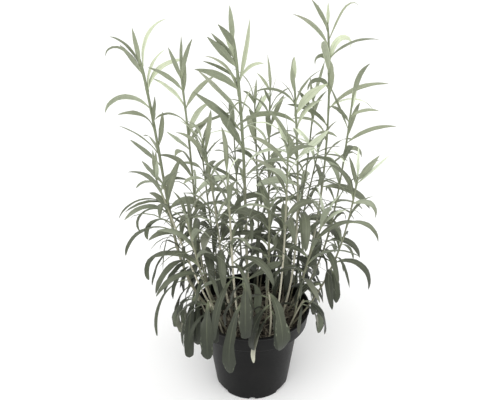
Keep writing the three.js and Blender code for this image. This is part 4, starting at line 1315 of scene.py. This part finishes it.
# round rods along lines whose points carry their radius
def makeRodTree():
    tree, given, out = newGeometryTree("rods", [("Points Round", "Int", 10), ("Material", "Material", None)])
    lines = put(tree, "GeometryNodeMeshToCurve", {"Mesh": given["Geometry"]})
    body = put(tree, "GeometryNodeCurveToMesh", {
        "Curve": lines.outputs[0], "Profile Curve": sectionRing(tree, given["Points Round"]),
        "Scale": named(tree, "thick"), "Fill Caps": True})
    clean = put(tree, "GeometryNodeRemoveAttribute", {"Geometry": body.outputs[0], "Name": "thick"})
    smooth = put(tree, "GeometryNodeSetShadeSmooth", {0: clean.outputs[0], "Shade Smooth": True})
    return endTree(tree, out, smooth.outputs[0], given["Material"])


stemShape = {
    "steps": 64, "pointsRound": 10, "joint": 0.14, "jointLong": 3.0, "tipFrom": 0.97, "tipThin": 0.45,
    "dark": 80, "pale": 220, "strawAndLight": (0.1, 0.8), "frontLightReach": 80,
}


# one stem's line, a little swollen at each leaf and drawn in at its tip
def stemLine(name, plant, leaves):
    draw = drawFrom(seedOf(name) + 3)
    lines = Lines()
    length = math.dist(plant["path"][0], plant["path"][3])
    # stems at the front get more straw colour: painted light on them, added to their dry colour
    strawAndLight = clamp(draw(*stemShape["strawAndLight"]) - plant["path"][0][1] / stemShape["frontLightReach"])
    for k in range(stemShape["steps"] + 1):
        t = k / stemShape["steps"]
        spot = pointOn(plant["path"], t)
        thick = plant["radius"] * mix(1, stem["tip"], t)
        for leaf in leaves:
            away = (t - leaf["at"]) * length / stemShape["jointLong"]
            thick += stemShape["joint"] * math.exp(-away * away)
        nearTip = clamp((t - stemShape["tipFrom"]) / (1 - stemShape["tipFrom"]))
        thick *= mix(1, stemShape["tipThin"], nearTip)
        tone = clamp((spot[2] - stemShape["dark"]) / stemShape["pale"])
        lines.add(spot, k > 0, thick=thick * mm, tone=tone, tint=strawAndLight)
    return lines.mesh(name)


# a blade tree's inputs from a shape whose thickness, stalk and midrib are in mm
def bladeInputs(shape, pointsRound, material):
    return {
        "Thickness": shape["thickness"] * mm, "Stalk Thickness": shape["stalk"] * mm, "Fold": shape["fold"],
        "Edge Roll": shape["roll"], "Wave": shape["wave"], "Waves": shape["waves"],
        "Midrib": shape["midrib"] * mm, "Raggedness": shape["raggedness"],
        "Points Round": pointsRound, "Material": material,
    }


def makePlants():
    bladeTree, rodTree = makeBladeTree(), makeRodTree()
    rodInputs = {"Points Round": stemShape["pointsRound"], "Material": stemMaterial}
    faces = 0
    for name, plant in plants.items():
        grown = {**bladeShape["firm"], **(bladeShape["limp"] if name.startswith("shoot") else {})}
        fresh = {**grown, **bladeShape["young"]}
        parts = [grow(addObject(name + "_stalk", stemLine(name, plant, leavesOf[name])), rodTree, rodInputs)]
        for suffix, leaves, shares, seed, inputs in (
            ("_leaves", leavesOf[name], bladeShape["shares"], 1,
             bladeInputs(grown, bladeShape["pointsRound"], leafMaterial)),
            ("_young", youngOf[name], bladeShape["youngShares"], 2,
             bladeInputs(fresh, bladeShape["youngPointsRound"], leafMaterial)),
        ):
            if leaves:
                lines = ribLines(name, [(plant, leaf) for leaf in leaves], shares, seed)
                parts.append(grow(addObject(name + suffix, lines), bladeTree, inputs))
        for thing in parts:
            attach(thing, "root")
            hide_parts(name)
            faces += len(thing.data.polygons)
    print("plants made, faces:", faces)


makePlants()


# what lies on the soil: dead roots, cut old stems, shed leaves and bark
litter = {
    "roots": 110, "rootLong": (16, 52), "rootThick": (0.22, 0.8), "rootLift": (0.4, 9), "rootSteps": 14,
    "rootTurn": 0.6, "rootBend": (-0.42, 0.42), "rootRise": 0.6, "rootArch": (0.8, 1), "rootTip": 0.45,
    "rootMargin": 4, "rootSides": 6,
    "stubs": 11, "stubTall": (7, 24), "stubThick": (0.7, 1.3), "stubTint": (0.3, 0.9), "stubTip": 0.85,
    "stubLean": (-0.25, 0.25), "stubSunk": 2, "stubSteps": 3, "stubMargin": 12, "stubSides": 10,
    "leaves": 40, "leafLong": (13, 32), "leafWide": (2.4, 5.6), "leafLift": (0.6, 5), "leafRise": (-4, 22),
    "leafFall": (-24, 8), "leafSwing": (-80, 80), "leafRoll": (-50, 50), "leafFull": 0.55, "leafClear": 0.8,
    "leafMargin": 3,
    "leafShape": {"thickness": 0.3, "stalk": 0.6, "fold": 0.5, "roll": 0.5, "wave": 0.3, "waves": 1.6,
                  "midrib": 0.2, "raggedness": 0.4},
    "chips": 460, "chipSize": (0.9, 3.2), "chipFlatness": 0.3, "chipMargin": 7.0, "reach": 53, "seed": 19,
}


def spotOnSoil(draw, reach):
    out, turn = reach * math.sqrt(draw(0, 1)), draw(0, 2 * math.pi)
    return out * math.cos(turn), out * math.sin(turn)


# winding lines that leave the soil and come back to it
def rootLines(draw):
    lines = Lines()
    reach, steps = litter["reach"] - litter["rootMargin"], litter["rootSteps"]
    for _ in range(litter["roots"]):
        x, y = spotOnSoil(draw, reach)
        long, thick, lift = (draw(*litter[key]) for key in ("rootLong", "rootThick", "rootLift"))
        heading, tint = draw(0, 2 * math.pi), draw(0, 1)
        for k in range(steps + 1):
            share = k / steps
            if math.hypot(x, y) > reach:
                heading = math.atan2(-y, -x) + litter["rootTurn"]
            arch = lift * math.sin(math.pi * share) * draw(*litter["rootArch"])
            z = clodHeight(x, y) + thick * litter["rootRise"] + arch
            lines.add([x, y, z], k > 0, thick=thick * mix(1, litter["rootTip"], share) * mm, tint=tint)
            x += long / steps * math.cos(heading)
            y += long / steps * math.sin(heading)
            heading += draw(*litter["rootBend"])
    return lines.mesh("roots")


# old stems cut short
def stubLines(draw):
    lines = Lines()
    for _ in range(litter["stubs"]):
        x, y = spotOnSoil(draw, litter["reach"] - litter["stubMargin"])
        tall, thick, tint = (draw(*litter[key]) for key in ("stubTall", "stubThick", "stubTint"))
        lean = [draw(*litter["stubLean"]), draw(*litter["stubLean"])]
        for k in range(litter["stubSteps"] + 1):
            share = k / litter["stubSteps"]
            rise = mix(-litter["stubSunk"], tall, share)
            spot = [x + lean[0] * rise, y + lean[1] * rise, clodHeight(x, y) + rise]
            lines.add(spot, k > 0, thick=thick * mix(1, litter["stubTip"], share) * mm, tint=tint)
    return lines.mesh("stubs")


# dry leaves that lie on the soil or lean on what is there
def shedPairs(draw):
    pairs = []
    while len(pairs) < litter["leaves"]:
        x, y = spotOnSoil(draw, litter["reach"] - litter["leafMargin"])
        spot = [x, y, clodHeight(x, y) + draw(*litter["leafLift"])]
        bed = {"path": [spot] * 4, "radius": 0}
        leaf = {
            "at": 0.5, "turn": draw(0, 360),
            "rise": draw(*litter["leafRise"]), "fall": draw(*litter["leafFall"]),
            "long": draw(*litter["leafLong"]), "wide": draw(*litter["leafWide"]),
            "swing": draw(*litter["leafSwing"]), "roll": draw(*litter["leafRoll"]),
            "full": litter["leafFull"], "curl": 1,
        }
        rib = midribOf(bed, leaf)
        lowest = min(z - clodHeight(x, y) for x, y, z in rib)
        spot[2] += max(0, litter["leafClear"] - lowest)
        if all(math.hypot(x, y) < litter["reach"] for x, y, z in rib):
            pairs.append((bed, leaf))
    return pairs


def makeLitter():
    draw = drawFrom(litter["seed"])
    rods, blades, lumps = makeRodTree(), makeBladeTree(), makeCrumbTree()
    chips = crumbInputs(
        litter["chips"], litter["chipSize"], litter["chipMargin"], litter["seed"], litterMaterial)
    things = [
        grow(addObject("deadRoots", rootLines(draw)), rods,
             {"Points Round": litter["rootSides"], "Material": litterMaterial}),
        grow(addObject("cutStems", stubLines(draw)), rods,
             {"Points Round": litter["stubSides"], "Material": litterMaterial}),
        grow(addObject("shedLeaves", ribLines("shedLeaves", shedPairs(draw), bladeShape["shares"], 1)),
             blades, bladeInputs(litter["leafShape"], bladeShape["pointsRound"], litterMaterial)),
        grow(addObject("barkChips", makeGround()), lumps, {**chips, "Flatness": litter["chipFlatness"]}),
    ]
    for thing in things:
        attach(thing, "root")
    print("litter made, faces:", sum(len(thing.data.polygons) for thing in things))


makeLitter()


# the floor's side is in metres
stage = {"floor": 60.0, "floorColor": (0.93, 0.93, 0.925, 1), "floorRough": 0.9, "sky": 0.76}
white = (1, 1, 1, 1)


def makeStage():
    half = stage["floor"] / 2
    mesh = bpy.data.meshes.new("floor")
    corners = [(-half, -half, 0), (half, -half, 0), (half, half, 0), (-half, half, 0)]
    mesh.from_pydata(corners, [], [(0, 1, 2, 3)])
    floor = addObject("floor", mesh)
    material, tree, shader = newMaterial("paleFloor")
    feed(tree, shader.inputs["Base Color"], stage["floorColor"])
    feed(tree, shader.inputs["Roughness"], stage["floorRough"])
    mesh.materials.append(material)


# the sky lights the plant, and the camera sees plain white behind it
def makeSky():
    world = bpy.data.worlds.new("studio")
    world.use_nodes = True
    tree = world.node_tree
    sky = tree.nodes["Background"]
    feed(tree, sky.inputs["Color"], white)
    feed(tree, sky.inputs["Strength"], stage["sky"])
    backdrop = put(tree, "ShaderNodeBackground", {"Color": white, "Strength": 1.0})
    seen = put(tree, "ShaderNodeLightPath").outputs["Is Camera Ray"]
    both = put(tree, "ShaderNodeMixShader", {0: seen, 1: sky.outputs[0], 2: backdrop.outputs[0]})
    feed(tree, tree.nodes["World Output"].inputs["Surface"], both.outputs[0])
    scene.world = world


# far soft lamps. tilt: turns from straight above, toward X and toward Y
lamps = {
    "key": {"tilt": (-12, -34), "strength": 1.7, "softness": 50},
    "fill": {"tilt": (48, -20), "strength": 0.45, "softness": 60},
}


def addLamp(name, measures):
    lamp = bpy.data.lights.new(name, "SUN")
    lamp.energy, lamp.angle = measures["strength"], radians(measures["softness"])
    towardX, towardY = measures["tilt"]
    addObject(name, lamp).rotation_euler = (radians(-towardY), radians(towardX), 0)


# pitch: down from level. clip: in metres
camera = {"place": (-2.4, -448, 404), "pitch": 23, "lens": 36.0, "sensor": 36.0, "clip": (0.01, 100)}


def makeCamera():
    lens = bpy.data.cameras.new("camera")
    lens.sensor_width, lens.lens = camera["sensor"], camera["lens"]
    lens.clip_start, lens.clip_end = camera["clip"]
    thing = addObject("camera", lens)
    thing.location = [value * mm for value in camera["place"]]
    thing.rotation_euler = (radians(90 - camera["pitch"]), 0, 0)
    scene.camera = thing


makeStage()
makeSky()
for name, measures in lamps.items():
    addLamp(name, measures)
makeCamera()
scene.view_settings.view_transform = "Standard"
print("stage made")
